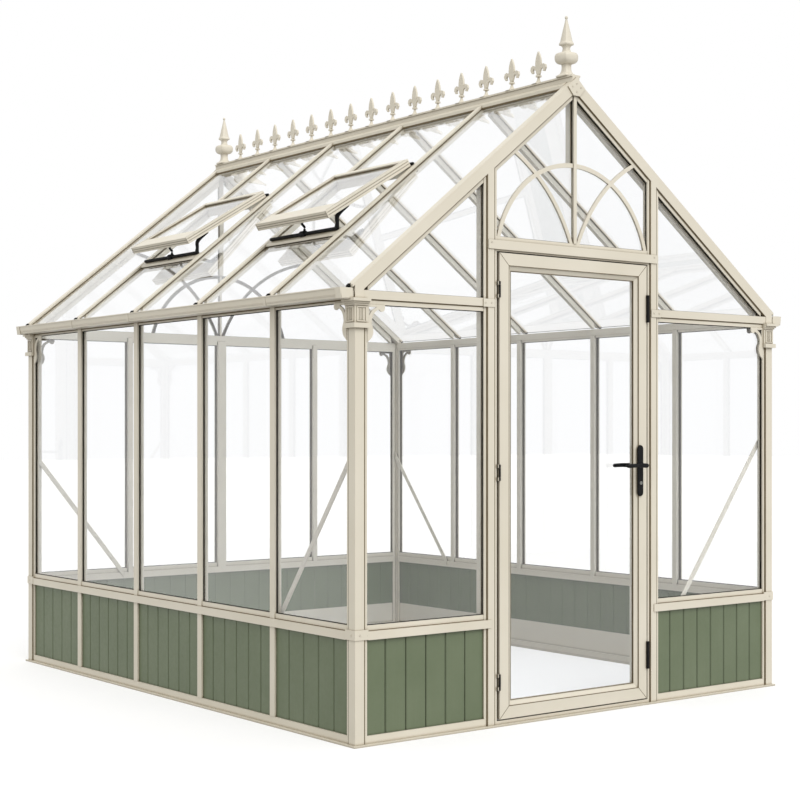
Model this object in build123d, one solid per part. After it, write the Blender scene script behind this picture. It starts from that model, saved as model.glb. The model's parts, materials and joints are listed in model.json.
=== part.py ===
from build123d import *
import math
import os

os.makedirs("parts", exist_ok=True)

# Overall size in millimetres. Front faces -Y, up is +Z.
width = 2650             # across the gable, over the corner posts
length = 3160            # front to back, over the corner posts
eave_height = 1925       # roof line above each side wall
gable_rise = 1010        # roof line at the ridge, above the eave
ridge_x = -66            # ridge, door and fanlight stand left of the middle
bay_count = 5            # glazed bays along each side

# Corner posts
post_size = 46
post_groove = 8
post_flange = 12
groove_end = post_size + post_groove
post_reach = groove_end + post_flange

# Base plate and rails; the rails are flush with the inside of the posts
plate_height = 8
plate_lip = 12
plate_depth = post_size + 4
base_top = 41
base_setback = 6
mid_bottom = 440
mid_top = 476
rail_depth = post_size
rail_proud = 2
bead_height = 24
eave_rail = 36
eave_bead = {"side": 13, "end": 22}
eave_top = eave_height - 31
eave_bottom = eave_top - eave_rail

# Collar and capital on each corner post
collar_bottom = mid_bottom + 2
collar_top = mid_top + 8
collar_proud = 4
capital_height = 122
capital_foot = 20
capital_block = 74
capital_cove = 8
capital_ring = 8

# Glazing and boarding, measured inwards from the outer wall face
cap_face = 4
cap_back = 14
glass_face = 19
glass_back = 23
seat_back = 28
bar_back = post_size
cap_half = 14
wall_cap_half = 19
middle_cap_half = 32
web_inset = 4
neck_half = 6
bar_half = 12
bead_outer = 8
bead_back = 38

# Door, door posts and transom
leaf_half = 467
leaf_bottom = 30
leaf_top = 2100
leaf_depth = 40
leaf_face = 56
leaf_bead = 22
leaf_gap = 12
door_post_box = 18
door_post_groove = 25
door_post_half = 37
door_post_back = 60
door_post_x = leaf_half + leaf_gap + door_post_half
transom_gap = 14
door_head_gap = 6
transom_height = 40
transom_bottom = leaf_top + transom_gap
transom_top = transom_bottom + transom_height
transom_proud = 5
fanlight_bead = 18
sill_top = leaf_bottom - 7

# Roof members, measured straight down from the roof line
rafter_drop = 64
rafter_depth = 40
rafter_seat_depth = 72
roof_cap_drop = 13
roof_glass_drop = 17
roof_glass_thick = 5
roof_seat_drop = 25
roof_bar_drop = rafter_drop - 6
roof_bead = 24
roof_overhang = 12
ridge_height = eave_height + gable_rise
ridge_half = 22
ridge_top = ridge_height + 15
ridge_flange = 20

# Roof vents, measured level from the outer wall face
vent_low = 400
vent_high = 800
vent_bays = (1, 3)
vent_opening = 7.6
vent_length = 555
vent_side = 30
vent_foot = 90
vent_depth = 36
vent_gap = 17
vent_clearance = 3
vent_pane_lap = 8
trimmer_width = 30
trimmer_neck = 20
trimmer_drop = 45
opener_depth = 16
arm_width = 10
arm_half = 7
front_arm_reach = vent_length - 100
middle_arm_reach = vent_length - 75

side_x = width / 2
end_y = length / 2
bay = length / bay_count
bar_lines = [index * bay - end_y for index in range(1, bay_count)]
vent_width = bay - 2 * vent_gap


def block(x_low, x_high, y_low, y_high, z_low, z_high):
    """Box between two corners."""
    size = (abs(x_high - x_low), abs(y_high - y_low), z_high - z_low)
    centre = Pos((x_low + x_high) / 2, (y_low + y_high) / 2, (z_low + z_high) / 2)
    return centre * Box(*size)


def wall_block(wall, along_low, along_high, inner, outer, z_low, z_high):
    """Box on one wall, with its depth measured inwards from the outer face."""
    if wall == "left":
        return block(-side_x + inner, -side_x + outer, along_low, along_high, z_low, z_high)
    if wall == "right":
        return block(side_x - inner, side_x - outer, along_low, along_high, z_low, z_high)
    if wall == "front":
        return block(along_low, along_high, -end_y + inner, -end_y + outer, z_low, z_high)
    return block(along_low, along_high, end_y - inner, end_y - outer, z_low, z_high)


def polygon(points):
    return make_face(Polyline(*points, close=True))


def wall_plate(wall, outline, inner, outer):
    """Upright plate on one wall from a sketch of distance along the wall and height."""
    if wall in ("front", "back"):
        start = -end_y + inner if wall == "front" else end_y - outer
        plane = Plane(origin=(0, start, 0), x_dir=(1, 0, 0), z_dir=(0, -1, 0))
        return extrude(plane * outline, -(outer - inner))
    start = -side_x + inner if wall == "left" else side_x - outer
    plane = Plane(origin=(start, 0, 0), x_dir=(0, 1, 0), z_dir=(1, 0, 0))
    return extrude(plane * outline, outer - inner)


def gable_plate(wall, points, inner, outer):
    return wall_plate(wall, polygon(points), inner, outer)


def fuse(pieces):
    """Join pieces into one solid."""
    whole = pieces[0]
    for piece in pieces[1:]:
        whole = whole + piece
    return whole


def save(node, pieces):
    """Write one subcomponent made of one or more separate solids."""
    solids = []
    for piece in pieces:
        solids.extend(piece.solids())
    if len(solids) == 1:
        export_step(solids[0], f"parts/{node}.step")
    else:
        export_step(Compound(children=solids), f"parts/{node}.step")


def roof_run(side):
    """Level distance from the outer wall face to the ridge."""
    if side == "left":
        return side_x + ridge_x
    return side_x - ridge_x


def roof_rise(side):
    return (ridge_height - eave_height) / roof_run(side)


def roof_point(side, run, drop):
    """Point in X and Z, at a level distance in from the wall and below the roof line."""
    height = eave_height + run * roof_rise(side) - drop
    if side == "left":
        return (-side_x + run, height)
    return (side_x - run, height)


def under_roof(x, drop):
    """Height of a line parallel to the roof, at one X."""
    side = "left" if x <= ridge_x else "right"
    run = side_x + x if side == "left" else side_x - x
    return roof_point(side, run, drop)[1]


def slope_strip(side, run_low, run_high, drop_low, drop_high, y_low, y_high):
    """Strip that follows the roof slope, with plumb ends."""
    points = [
        roof_point(side, run_low, drop_low),
        roof_point(side, run_high, drop_low),
        roof_point(side, run_high, drop_high),
        roof_point(side, run_low, drop_high),
    ]
    face = make_face(Polyline(*points, close=True))
    plane = Plane(origin=(0, y_low, 0), x_dir=(1, 0, 0), z_dir=(0, -1, 0))
    return extrude(plane * face, -(y_high - y_low))


# Base: a flat plate mitred at the corners, with an upright rail between the posts
def base_rail(wall):
    half = end_y if wall in ("left", "right") else side_x
    outer_edge = half + plate_lip
    inner_edge = half - plate_depth
    if wall in ("left", "right"):
        sign = -1 if wall == "left" else 1
        outer_x = sign * (side_x + plate_lip)
        inner_x = sign * (side_x - plate_depth)
        corners = [
            (outer_x, -outer_edge),
            (outer_x, outer_edge),
            (inner_x, inner_edge),
            (inner_x, -inner_edge),
        ]
    else:
        sign = -1 if wall == "front" else 1
        outer_y = sign * (end_y + plate_lip)
        inner_y = sign * (end_y - plate_depth)
        corners = [
            (-outer_edge, outer_y),
            (outer_edge, outer_y),
            (inner_edge, inner_y),
            (-inner_edge, inner_y),
        ]
    plate = extrude(make_face(Polyline(*corners, close=True)), plate_height)
    reach = half - post_reach
    spans = [(-reach, reach, base_top)]
    if wall == "front":
        door_outer = door_post_x + door_post_half
        door_inner = door_post_x - door_post_half
        spans = [
            (-reach, ridge_x - door_outer, base_top),
            (ridge_x - door_inner, ridge_x + door_inner, sill_top),
            (ridge_x + door_outer, reach, base_top),
        ]
    pieces = [plate]
    for start, end, top in spans:
        pieces.append(wall_block(wall, start, end, base_setback, bar_back, plate_height, top))
    return fuse(pieces)


save("base_rails_side", [base_rail("left"), base_rail("right")])
save("base_rails_end", [base_rail("front"), base_rail("back")])


# Corner posts: square box, a groove and a flange on each side, mid collar and capital
def corner_block(sign_x, sign_y, a_low, a_high, b_low, b_high, z_low, z_high):
    return block(
        sign_x * (side_x - a_low),
        sign_x * (side_x - a_high),
        sign_y * (end_y - b_low),
        sign_y * (end_y - b_high),
        z_low,
        z_high,
    )


def corner_post(sign_x, sign_y):
    def both(a_low, a_high, b_low, b_high, z_low, z_high):
        first = corner_block(sign_x, sign_y, a_low, a_high, b_low, b_high, z_low, z_high)
        second = corner_block(sign_x, sign_y, b_low, b_high, a_low, a_high, z_low, z_high)
        return [first, second]

    core = corner_block(sign_x, sign_y, 0, post_size, 0, post_size, plate_height, eave_bottom)
    pieces = [core]
    pieces += both(post_size - 1, groove_end, cap_back, bead_back, plate_height, eave_bottom)
    pieces += both(groove_end, post_reach, base_setback, cap_back, plate_height, eave_bottom)
    pieces += both(groove_end, groove_end + neck_half, cap_back, seat_back, plate_height, eave_bottom)
    pieces += both(groove_end, post_reach, seat_back, bead_back, plate_height, eave_bottom)
    # collar at the mid rail
    pieces += both(-collar_proud, post_reach, -collar_proud, cap_back, collar_bottom, collar_top)
    # capital: a ring, a plain block, and a moulding that steps out to the top
    level = eave_bottom - capital_height
    steps = [
        (capital_foot, 14),
        (capital_block, 4),
        (capital_cove, 9),
        (capital_ring, 15),
        (eave_bottom - level - capital_foot - capital_block - capital_cove - capital_ring, 24),
    ]
    for rise, proud in steps:
        pieces += both(-proud, post_reach, -proud, cap_back, level, level + rise)
        level += rise
    return fuse(pieces)


corner_signs = [(-1, -1), (1, -1), (-1, 1), (1, 1)]
save("corner_posts", [corner_post(*signs) for signs in corner_signs])


# Mid rails and eave rails carry glazing beads between the bars
def beads(wall, edges, z_low, z_high):
    pieces = []
    for start, end in edges:
        pieces.append(wall_block(wall, start, end, bead_outer, cap_back, z_low, z_high))
        pieces.append(wall_block(wall, start, end, seat_back, bead_back, z_low, z_high))
    return pieces


def bay_edges(start, end, bars):
    """Clear spans between bars, from one post flange to the other."""
    stops = [start]
    for line, half in bars:
        stops += [line - half, line + half]
    stops.append(end)
    return list(zip(stops[0::2], stops[1::2]))


side_reach = end_y - post_reach
end_reach = side_x - post_reach
back_posts = [(ridge_x - side_x) / 2, ridge_x, (ridge_x + side_x) / 2]
side_bars = [(line, wall_cap_half) for line in bar_lines]
back_bars = list(zip(back_posts, (wall_cap_half, middle_cap_half, wall_cap_half)))
side_spans = bay_edges(-side_reach, side_reach, side_bars)
back_spans = bay_edges(-end_reach, end_reach, back_bars)
front_spans = [
    (-end_reach, ridge_x - door_post_x - door_post_half),
    (ridge_x + door_post_x + door_post_half, end_reach),
]


def mid_rail(wall, spans):
    low = spans[0][0]
    high = spans[-1][1]
    pieces = [wall_block(wall, low, high, -rail_proud, rail_depth, mid_bottom, mid_top)]
    pieces += beads(wall, spans, mid_top, mid_top + bead_height)
    return pieces


front_mid_rails = []
for low, high in front_spans:
    pieces = mid_rail("front", [(low, high)])
    # the inner end laps over the door post
    if low < ridge_x:
        lap = (high, high + door_post_half)
    else:
        lap = (low - door_post_half, low)
    for start, end in (lap, (low, high)):
        pieces.append(wall_block("front", start, end, -2 * rail_proud, 0, mid_bottom, mid_top))
    front_mid_rails.append(fuse(pieces))

save("mid_rails_side", [fuse(mid_rail(wall, side_spans)) for wall in ("left", "right")])
save("mid_rails_end", front_mid_rails + [fuse(mid_rail("back", back_spans))])


# Eave rails: the side rails run between the gable rafters, the end rails between the posts
def side_eave_rail(wall):
    run = end_y - rafter_depth
    pieces = [wall_block(wall, -run, run, 0, rafter_depth, eave_bottom, eave_top)]
    pieces += beads(wall, side_spans, eave_bottom - eave_bead["side"], eave_bottom)
    return fuse(pieces)


def end_eave_rail(wall, spans, low, high):
    pieces = [wall_block(wall, low, high, 2, bead_back, eave_bottom, end_rail_top)]
    pieces += beads(wall, spans, eave_bottom - eave_bead["end"], eave_bottom)
    return fuse(pieces)


rail_end = side_x - post_size
rafter_feet = [roof_point(side, post_size, rafter_drop)[1] for side in ("left", "right")]
end_rail_top = min(eave_top, *rafter_feet)
save("eave_rails_side", [side_eave_rail("left"), side_eave_rail("right")])
save(
    "eave_rails_end",
    [
        end_eave_rail("front", front_spans[:1], -rail_end, front_spans[0][1]),
        end_eave_rail("front", front_spans[1:], front_spans[1][0], rail_end),
        end_eave_rail("back", back_spans, -rail_end, rail_end),
    ],
)


# Upright bars: outer cap and neck, with an inner web behind the panes of the upper ones
def bar_face(wall, line, half, z_low, z_high):
    return [
        wall_block(wall, line - half, line + half, cap_face, cap_back, z_low, z_high),
        wall_block(wall, line - neck_half, line + neck_half, cap_back, seat_back, z_low, z_high),
    ]


def wall_bars(wall, bars):
    pieces = []
    for line, half in bars:
        pieces.append(fuse(bar_face(wall, line, half, base_top, mid_bottom)))
        upper = bar_face(wall, line, half, mid_top, eave_bottom)
        reach = half - web_inset
        upper.append(wall_block(wall, line - reach, line + reach, seat_back, bar_back, mid_top, eave_bottom))
        pieces.append(fuse(upper))
    return pieces


save("left_wall_bars", wall_bars("left", side_bars))
save("right_wall_bars", wall_bars("right", side_bars))
save("back_wall_bars", wall_bars("back", back_bars))


# Boarded panels and wall glass fill the bays between the necks
def fill_edges(start, end, bars):
    stops = [start] + [line + offset for line in bars for offset in (-neck_half, neck_half)] + [end]
    return list(zip(stops[0::2], stops[1::2]))


side_fill = fill_edges(groove_end + neck_half - end_y, end_y - groove_end - neck_half, bar_lines)
back_fill = fill_edges(groove_end + neck_half - side_x, side_x - groove_end - neck_half, back_posts)
post_neck = door_post_x + door_post_groove + neck_half
front_fill = [
    (groove_end + neck_half - side_x, ridge_x - post_neck),
    (ridge_x + post_neck, side_x - groove_end - neck_half),
]


def panel(wall, span):
    return wall_block(wall, *span, cap_back, seat_back, base_top, mid_bottom)


def wall_pane(wall, span):
    return wall_block(wall, *span, glass_face, glass_back, mid_top, eave_bottom)


panels = [panel(wall, span) for wall in ("left", "right") for span in side_fill]
save("panels_side", panels)
front_panels = [panel("front", span) for span in front_fill]
save("panels_end", front_panels + [panel("back", span) for span in back_fill])
for wall in ("left", "right"):
    save(f"{wall}_wall_glass", [wall_pane(wall, span) for span in side_fill])


# Door posts rise from the plate to the rafters
def door_post(sign):
    line = ridge_x + sign * door_post_x
    pieces = []
    strips = [
        (-door_post_box, door_post_box, 0, rafter_depth),
        (-door_post_groove, -door_post_box, cap_back, bead_back - 4),
        (door_post_box, door_post_groove, cap_back, bead_back - 4),
        (sign * door_post_groove, sign * door_post_half, base_setback, cap_back),
        (sign * door_post_groove, sign * (door_post_groove + neck_half), cap_back, seat_back),
        (sign * door_post_groove, sign * door_post_half, seat_back, door_post_back),
        (-sign * door_post_groove, -sign * door_post_half, base_setback, bead_back),
    ]
    for first, second, inner, outer in strips:
        low = line + min(first, second)
        high = line + max(first, second)
        points = [
            (low, plate_height),
            (high, plate_height),
            (high, under_roof(high, rafter_drop)),
            (low, under_roof(low, rafter_drop)),
        ]
        pieces.append(gable_plate("front", points, inner, outer))
    return fuse(pieces)


save("door_posts", [door_post(-1), door_post(1)])

opening_half = door_post_x - door_post_half
post_outer = door_post_x + door_post_box
fanlight_foot = transom_top + fanlight_bead


def transom_strip(half, inner, outer, z_low, z_high):
    return wall_block("front", ridge_x - half, ridge_x + half, inner, outer, z_low, z_high)


transom = fuse(
    [
        transom_strip(opening_half, -transom_proud, bead_back, transom_bottom, transom_top),
        transom_strip(post_outer, -transom_proud, 0, transom_bottom, transom_top),
        transom_strip(opening_half, base_setback, 30, leaf_top + door_head_gap, transom_bottom),
        transom_strip(opening_half, bead_outer, cap_back, transom_top, fanlight_foot),
        transom_strip(opening_half, seat_back, bead_back, transom_top, fanlight_foot),
    ]
)
save("transom", [transom])


# Gable rafters: wide boards with a level foot on each corner post and beads below
def gable_rafter(wall, side, stops):
    run_end = roof_run(side) - ridge_half
    points = [
        roof_point(side, -roof_overhang, 0),
        roof_point(side, run_end, 0),
        roof_point(side, run_end, rafter_drop),
        roof_point(side, post_size, rafter_drop),
        (roof_point(side, post_size, 0)[0], eave_bottom),
        (roof_point(side, 0, 0)[0], eave_bottom),
        roof_point(side, 0, roof_cap_drop),
        roof_point(side, -roof_overhang, roof_cap_drop),
    ]
    pieces = [gable_plate(wall, points, 0, rafter_depth)]
    # inner strip that carries the edge of the roof glass
    strip = [
        roof_point(side, rafter_depth, roof_seat_drop),
        roof_point(side, run_end, roof_seat_drop),
        roof_point(side, run_end, rafter_drop),
        roof_point(side, rafter_depth, rafter_drop),
    ]
    pieces.append(gable_plate(wall, strip, rafter_depth, rafter_seat_depth))
    for run_low, run_high in stops:
        corners = [
            roof_point(side, run_low, rafter_drop),
            roof_point(side, run_high, rafter_drop),
            roof_point(side, run_high, rafter_drop + roof_bead),
            roof_point(side, run_low, rafter_drop + roof_bead),
        ]
        pieces.append(gable_plate(wall, corners, bead_outer, cap_back))
        pieces.append(gable_plate(wall, corners, seat_back, bead_back))
    return fuse(pieces)


def bead_start(side):
    """Level distance at which the bead clears the eave rail."""
    return (end_rail_top + rafter_drop + roof_bead - eave_height) / roof_rise(side)


for wall in ("front", "back"):
    rafters = []
    for side in ("left", "right"):
        run = roof_run(side)
        if wall == "front":
            stops = [
                (bead_start(side), run - door_post_x - door_post_half),
                (run - door_post_x + door_post_half, run - cap_half),
            ]
        else:
            stops = [(bead_start(side), run - cap_half - ridge_half)]
        rafters.append(gable_rafter(wall, side, stops))
    save(f"{wall}_gable_rafters", rafters)


# Gable fans: a centre bar, a round arch and two leaning curves on the outside of the glass
arch_radius = 490
arch_sink = 120          # arch centre lies below the rail it stands on
lean_radius = 785
lean_across = 742
lean_sink = 290
fan_bar = 18
fan_depth = 10
back_fan_half = 640


def upright_ring(x, z, radius, thickness, outer_y):
    plane = Plane(origin=(x, outer_y, z), x_dir=(1, 0, 0), z_dir=(0, -1, 0))
    return extrude(plane * (Circle(radius) - Circle(radius - thickness)), -fan_depth)


def gable_fan(wall, foot, half_width):
    outer_y = glass_face - fan_depth - end_y if wall == "front" else end_y - glass_face
    clear = rafter_drop + roof_bead
    outline = [
        (ridge_x - half_width, foot),
        (ridge_x + half_width, foot),
        (ridge_x + half_width, under_roof(ridge_x + half_width, clear)),
        (ridge_x, under_roof(ridge_x, clear)),
        (ridge_x - half_width, under_roof(ridge_x - half_width, clear)),
    ]
    pieces = [upright_ring(ridge_x, foot - arch_sink, arch_radius, fan_bar + 2, outer_y)]
    for sign in (-1, 1):
        centre_x = ridge_x + sign * lean_across
        lean = upright_ring(centre_x, foot - lean_sink, lean_radius, fan_bar, outer_y)
        half_space = block(ridge_x, ridge_x + sign * half_width, -end_y, end_y, foot, ridge_height)
        pieces.append(lean & half_space)
    curves = fuse(pieces) & gable_plate(wall, outline, 0, rafter_depth)
    # the mullion is slim below the arch and gains an inner web above it
    mullion = []
    strips = [
        (fan_bar / 2, cap_face, cap_back, foot),
        (neck_half, cap_back, seat_back, foot),
        (bar_half, seat_back, bead_back, foot + arch_radius - arch_sink),
    ]
    for half, inner, outer, low in strips:
        points = [
            (ridge_x - half, low),
            (ridge_x + half, low),
            (ridge_x + half, under_roof(ridge_x + half, rafter_drop)),
            (ridge_x, under_roof(ridge_x, rafter_drop)),
            (ridge_x - half, under_roof(ridge_x - half, rafter_drop)),
        ]
        mullion.append(gable_plate(wall, points, inner, outer))
    return fuse(mullion + [curves])


save("fanlight_bars", [gable_fan("front", fanlight_foot, opening_half)])
save("back_gable_bars", [gable_fan("back", end_rail_top, back_fan_half)])


# Gable glass: side panes and triangles at the front, two wide triangles at the back
def roof_pane_plate(wall, x_low, x_high, foot):
    """Pane between two upright lines, cut to the rafters above a level foot."""
    points = []
    for x in (x_low, x_high):
        top = under_roof(x, rafter_drop)
        if top < foot:
            side = "left" if x < ridge_x else "right"
            run = (foot + rafter_drop - eave_height) / roof_rise(side)
            x = roof_point(side, run, 0)[0]
            top = foot
        points.append((x, top))
    corners = [points[0], points[1]]
    if points[1][1] > foot:
        corners.append((points[1][0], foot))
    if points[0][1] > foot:
        corners.append((points[0][0], foot))
    return gable_plate(wall, corners, glass_face, glass_back)


front_glass = [wall_pane("front", span) for span in front_fill]
front_glass.append(roof_pane_plate("front", -rail_end, ridge_x - post_neck, end_rail_top))
front_glass.append(roof_pane_plate("front", ridge_x + post_neck, rail_end, end_rail_top))
front_glass.append(roof_pane_plate("front", ridge_x - opening_half, ridge_x - neck_half, transom_top))
front_glass.append(roof_pane_plate("front", ridge_x + neck_half, ridge_x + opening_half, transom_top))
save("front_glass", front_glass)

back_glass = [wall_pane("back", span) for span in back_fill]
back_glass.append(roof_pane_plate("back", -rail_end, ridge_x - neck_half, end_rail_top))
back_glass.append(roof_pane_plate("back", ridge_x + neck_half, rail_end, end_rail_top))
save("back_glass", back_glass)


# Roof bars run from the eave rail to the ridge beam
def roof_bar(side, line):
    top = roof_run(side) - ridge_half
    strips = [
        (-roof_overhang, top - ridge_flange, 0, roof_cap_drop, cap_half),
        (0, top, roof_cap_drop, roof_seat_drop, neck_half),
        (rafter_depth, top, roof_seat_drop, roof_bar_drop, bar_half),
    ]
    pieces = []
    for run_low, run_high, drop_low, drop_high, half in strips:
        strip = slope_strip(side, run_low, run_high, drop_low, drop_high, line - half, line + half)
        pieces.append(strip)
    return fuse(pieces)


for side in ("left", "right"):
    save(f"roof_bars_{side}", [roof_bar(side, line) for line in bar_lines])


# Roof glass: one pane a bay, or one below and one above each vent
def roof_pane(side, run_low, run_high, y_low, y_high):
    return slope_strip(side, run_low, run_high, roof_glass_drop, roof_glass_drop + roof_glass_thick, y_low, y_high)


roof_fill = fill_edges(rafter_depth - end_y, end_y - rafter_depth, bar_lines)
for side in ("left", "right"):
    top = roof_run(side) - ridge_half
    panes = []
    for index, (y_low, y_high) in enumerate(roof_fill):
        if side == "left" and index in vent_bays:
            panes.append(roof_pane(side, 0, vent_low - trimmer_neck, y_low, y_high))
            panes.append(roof_pane(side, vent_high + trimmer_neck, top, y_low, y_high))
        else:
            panes.append(roof_pane(side, 0, top, y_low, y_high))
    save(f"roof_glass_{side}", panes)


# Ridge beam with a glazing flange along each slope
ridge_low = under_roof(ridge_x, rafter_drop)
ridge_cap_half = ridge_half + 6
ridge_pieces = [
    block(ridge_x - ridge_half, ridge_x + ridge_half, -end_y, end_y, ridge_low, ridge_top),
    block(ridge_x - ridge_cap_half, ridge_x + ridge_cap_half, -end_y, end_y, ridge_top - 8, ridge_top),
]
for side in ("left", "right"):
    run = roof_run(side) - ridge_half
    reach = end_y - rafter_depth
    ridge_pieces.append(slope_strip(side, run - ridge_flange, run, -4, roof_cap_drop, -reach, reach))
save("ridge_beam", [fuse(ridge_pieces)])

# Five-sided cover plates over the two rafter joints
apex_half = 54
apex_foot_half = 20
apex_side_drop = 44
apex_foot_drop = 82
apex_plate = 6
apex_points = [
    (ridge_x, ridge_height + 4),
    (ridge_x + apex_half, ridge_height - apex_side_drop),
    (ridge_x + apex_foot_half, ridge_height - apex_foot_drop),
    (ridge_x - apex_foot_half, ridge_height - apex_foot_drop),
    (ridge_x - apex_half, ridge_height - apex_side_drop),
]
save("apex_plates", [gable_plate(wall, apex_points, -apex_plate, 0) for wall in ("front", "back")])


# Ridge cresting: fleur-de-lis castings between two four-sided finials
finial_inset = 64
crest_count = 15
crest_pitch = (length - 2 * finial_inset) / (crest_count + 1)
crest_height = 156
crest_stem = 6
crest_ring_z = 38
crest_blade_half = 18
crest_thickness = 10


def spun(points):
    """Turned shape from a half outline in radius and height."""
    outline = [(0, points[0][1])] + points + [(0, points[-1][1])]
    face = make_face(Polyline(*[(radius, 0, height) for radius, height in outline], close=True))
    return revolve(face, Axis.Z)


def crest_petal(sign):
    """Side petal that rises from the stem and curls down at its tip."""
    outer = [(5, 62), (18, 84), (35, 94), (49, 87), (53, 72), (43, 56)]
    inner = [(33, 58), (36, 69), (30, 76), (19, 70), (5, 46)]
    return polygon([(sign * across, height) for across, height in outer + inner])


def crest():
    """Flared foot and ring, then a flat pointed blade between two curled petals."""
    foot = spun([(34, 0), (18, 6), (9, 16), (crest_stem, 28), (crest_stem, crest_ring_z)])
    ring = Pos(0, 0, crest_ring_z) * Cylinder(14, 7)
    blade_foot = crest_ring_z + 3
    blade_widest = crest_height - 48
    left_edge = ThreePointArc((0, crest_height), (-crest_blade_half, blade_widest), (-crest_stem, blade_foot))
    right_edge = ThreePointArc((crest_stem, blade_foot), (crest_blade_half, blade_widest), (0, crest_height))
    outline = make_face([left_edge, Line((-crest_stem, blade_foot), (crest_stem, blade_foot)), right_edge])
    for sign in (-1, 1):
        outline += crest_petal(sign)
    plane = Plane(origin=(crest_thickness / 2, 0, 0), x_dir=(0, 1, 0), z_dir=(1, 0, 0))
    return foot + ring + extrude(plane * outline, -crest_thickness)


crest_shape = crest()
crests = []
for index in range(1, crest_count + 1):
    y = -end_y + finial_inset + index * crest_pitch
    crests.append(Pos(ridge_x, y, ridge_top) * crest_shape)
save("ridge_cresting", crests)


def four_sided(stages):
    """Square moulded shape through stages of half diagonal and height."""
    rings = [Pos(0, 0, height) * RegularPolygon(radius, 4, rotation=45) for radius, height in stages]
    return fuse([loft([low, high]) for low, high in zip(rings, rings[1:])])


finial_height = 285
finial_ball = 58
finial_neck = 19
finial_collar = 37
finial = four_sided(
    [
        (52, 0),
        (50, 8),
        (30, 20),
        (23, 36),
        (23, 58),
        (36, 61),
        (50, 68),
        (finial_ball - 1, 80),
        (finial_ball, 92),
        (finial_ball - 4, 104),
        (45, 112),
        (24, 119),
        (finial_neck, 126),
        (finial_neck, 142),
        (finial_collar, 150),
        (finial_collar, 158),
        (31, 164),
        (5, 270),
        (8, 276),
        (3, finial_height),
    ]
)
finials = [Pos(ridge_x, sign * (end_y - finial_inset), ridge_top) * finial for sign in (-1, 1)]
save("ridge_finials", finials)


# Gutters: open troughs with leaning fronts and end plates, hung on the side eave rails
gutter_reach = 74
gutter_foot = 66
gutter_back_gap = 10
gutter_wall = 4
gutter_bottom = eave_bottom
gutter_back = gutter_bottom + 28
gutter_lip = gutter_bottom + 42


def gutter(side):
    sign = -1 if side == "left" else 1
    end = end_y - 2
    floor_top = gutter_bottom + gutter_wall

    def drawn(points, y_low, y_high):
        face = polygon([(sign * (side_x + reach), height) for reach, height in points])
        plane = Plane(origin=(0, y_low, 0), x_dir=(1, 0, 0), z_dir=(0, -1, 0))
        return extrude(plane * face, -(y_high - y_low))

    front_foot = (gutter_foot, gutter_bottom)
    front_lip = (gutter_reach, gutter_lip)
    trough = [
        (0, gutter_bottom),
        front_foot,
        front_lip,
        (gutter_reach - gutter_wall, gutter_lip),
        (gutter_foot - gutter_wall, floor_top),
        (gutter_back_gap + gutter_wall, floor_top),
        (gutter_back_gap + gutter_wall, gutter_back),
        (gutter_back_gap, gutter_back),
        (gutter_back_gap, floor_top),
        (0, floor_top),
    ]
    plate = [(gutter_back_gap, gutter_bottom), front_foot, front_lip, (gutter_back_gap, gutter_lip)]
    pieces = [drawn(trough, -end, end)]
    for y_low in (-end, end - gutter_wall):
        pieces.append(drawn(plate, y_low, y_low + gutter_wall))
    return fuse(pieces)


save("gutters", [gutter("left"), gutter("right")])


# Roof vents: a sill and head across the bay, and a glazed frame held open on its stays
vent_centres = [(index + 0.5) * bay - end_y for index in vent_bays]
slope_angle = math.degrees(math.atan(roof_rise("left")))
vent_angle = slope_angle - vent_opening
hinge_x, hinge_z = roof_point("left", vent_high, -vent_clearance)


def vent_block(y_centre, u_low, u_high, y_low, y_high, n_low, n_high):
    """Box in the vent's own frame: down from the hinge, across, and outwards."""
    piece = block(-u_high, -u_low, y_low, y_high, n_low, n_high)
    return Pos(hinge_x, y_centre, hinge_z) * Rot(0, -vent_angle, 0) * piece


def trimmer(run_low, run_high, neck_low, neck_high, y_low, y_high):
    """Cross bar between two roof bars, above or below a vent."""
    strips = [
        (run_low, run_high, 2, roof_cap_drop, cap_half - neck_half),
        (neck_low, neck_high, roof_cap_drop, roof_seat_drop, 0),
        (run_low, run_high, roof_seat_drop, trimmer_drop, bar_half - neck_half),
    ]
    pieces = []
    for start, end, drop_low, drop_high, inset in strips:
        pieces.append(slope_strip("left", start, end, drop_low, drop_high, y_low + inset, y_high - inset))
    return fuse(pieces)


def stay_arm(y_low, reach):
    """Arm from the opener bar up to the underside of the vent frame."""
    foot_x, foot_z = roof_point("left", vent_low - 13, -opener_depth)
    head_x = hinge_x - reach * math.cos(math.radians(vent_angle))
    slope = math.tan(math.radians(vent_angle))
    points = [
        (foot_x - arm_half, foot_z - 4),
        (foot_x + arm_half, foot_z - 4),
        (head_x + arm_half, hinge_z - slope * (hinge_x - head_x - arm_half)),
        (head_x - arm_half, hinge_z - slope * (hinge_x - head_x + arm_half)),
    ]
    plane = Plane(origin=(0, y_low, 0), x_dir=(1, 0, 0), z_dir=(0, -1, 0))
    return extrude(plane * polygon(points), -arm_width)


def vent_frame_and_pane(centre):
    half = vent_width / 2
    inner_half = half - vent_side
    inner_reach = vent_length - vent_foot
    lap = vent_pane_lap
    outer = vent_block(centre, 0, vent_length, -half, half, 0, vent_depth)
    opening = vent_block(centre, vent_side, inner_reach, -inner_half, inner_half, -5, vent_depth + 5)
    pane = vent_block(
        centre,
        vent_side - lap,
        inner_reach + lap,
        -inner_half - lap,
        inner_half + lap,
        vent_depth - 14,
        vent_depth - 10,
    )
    return outer - opening - pane, pane


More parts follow.
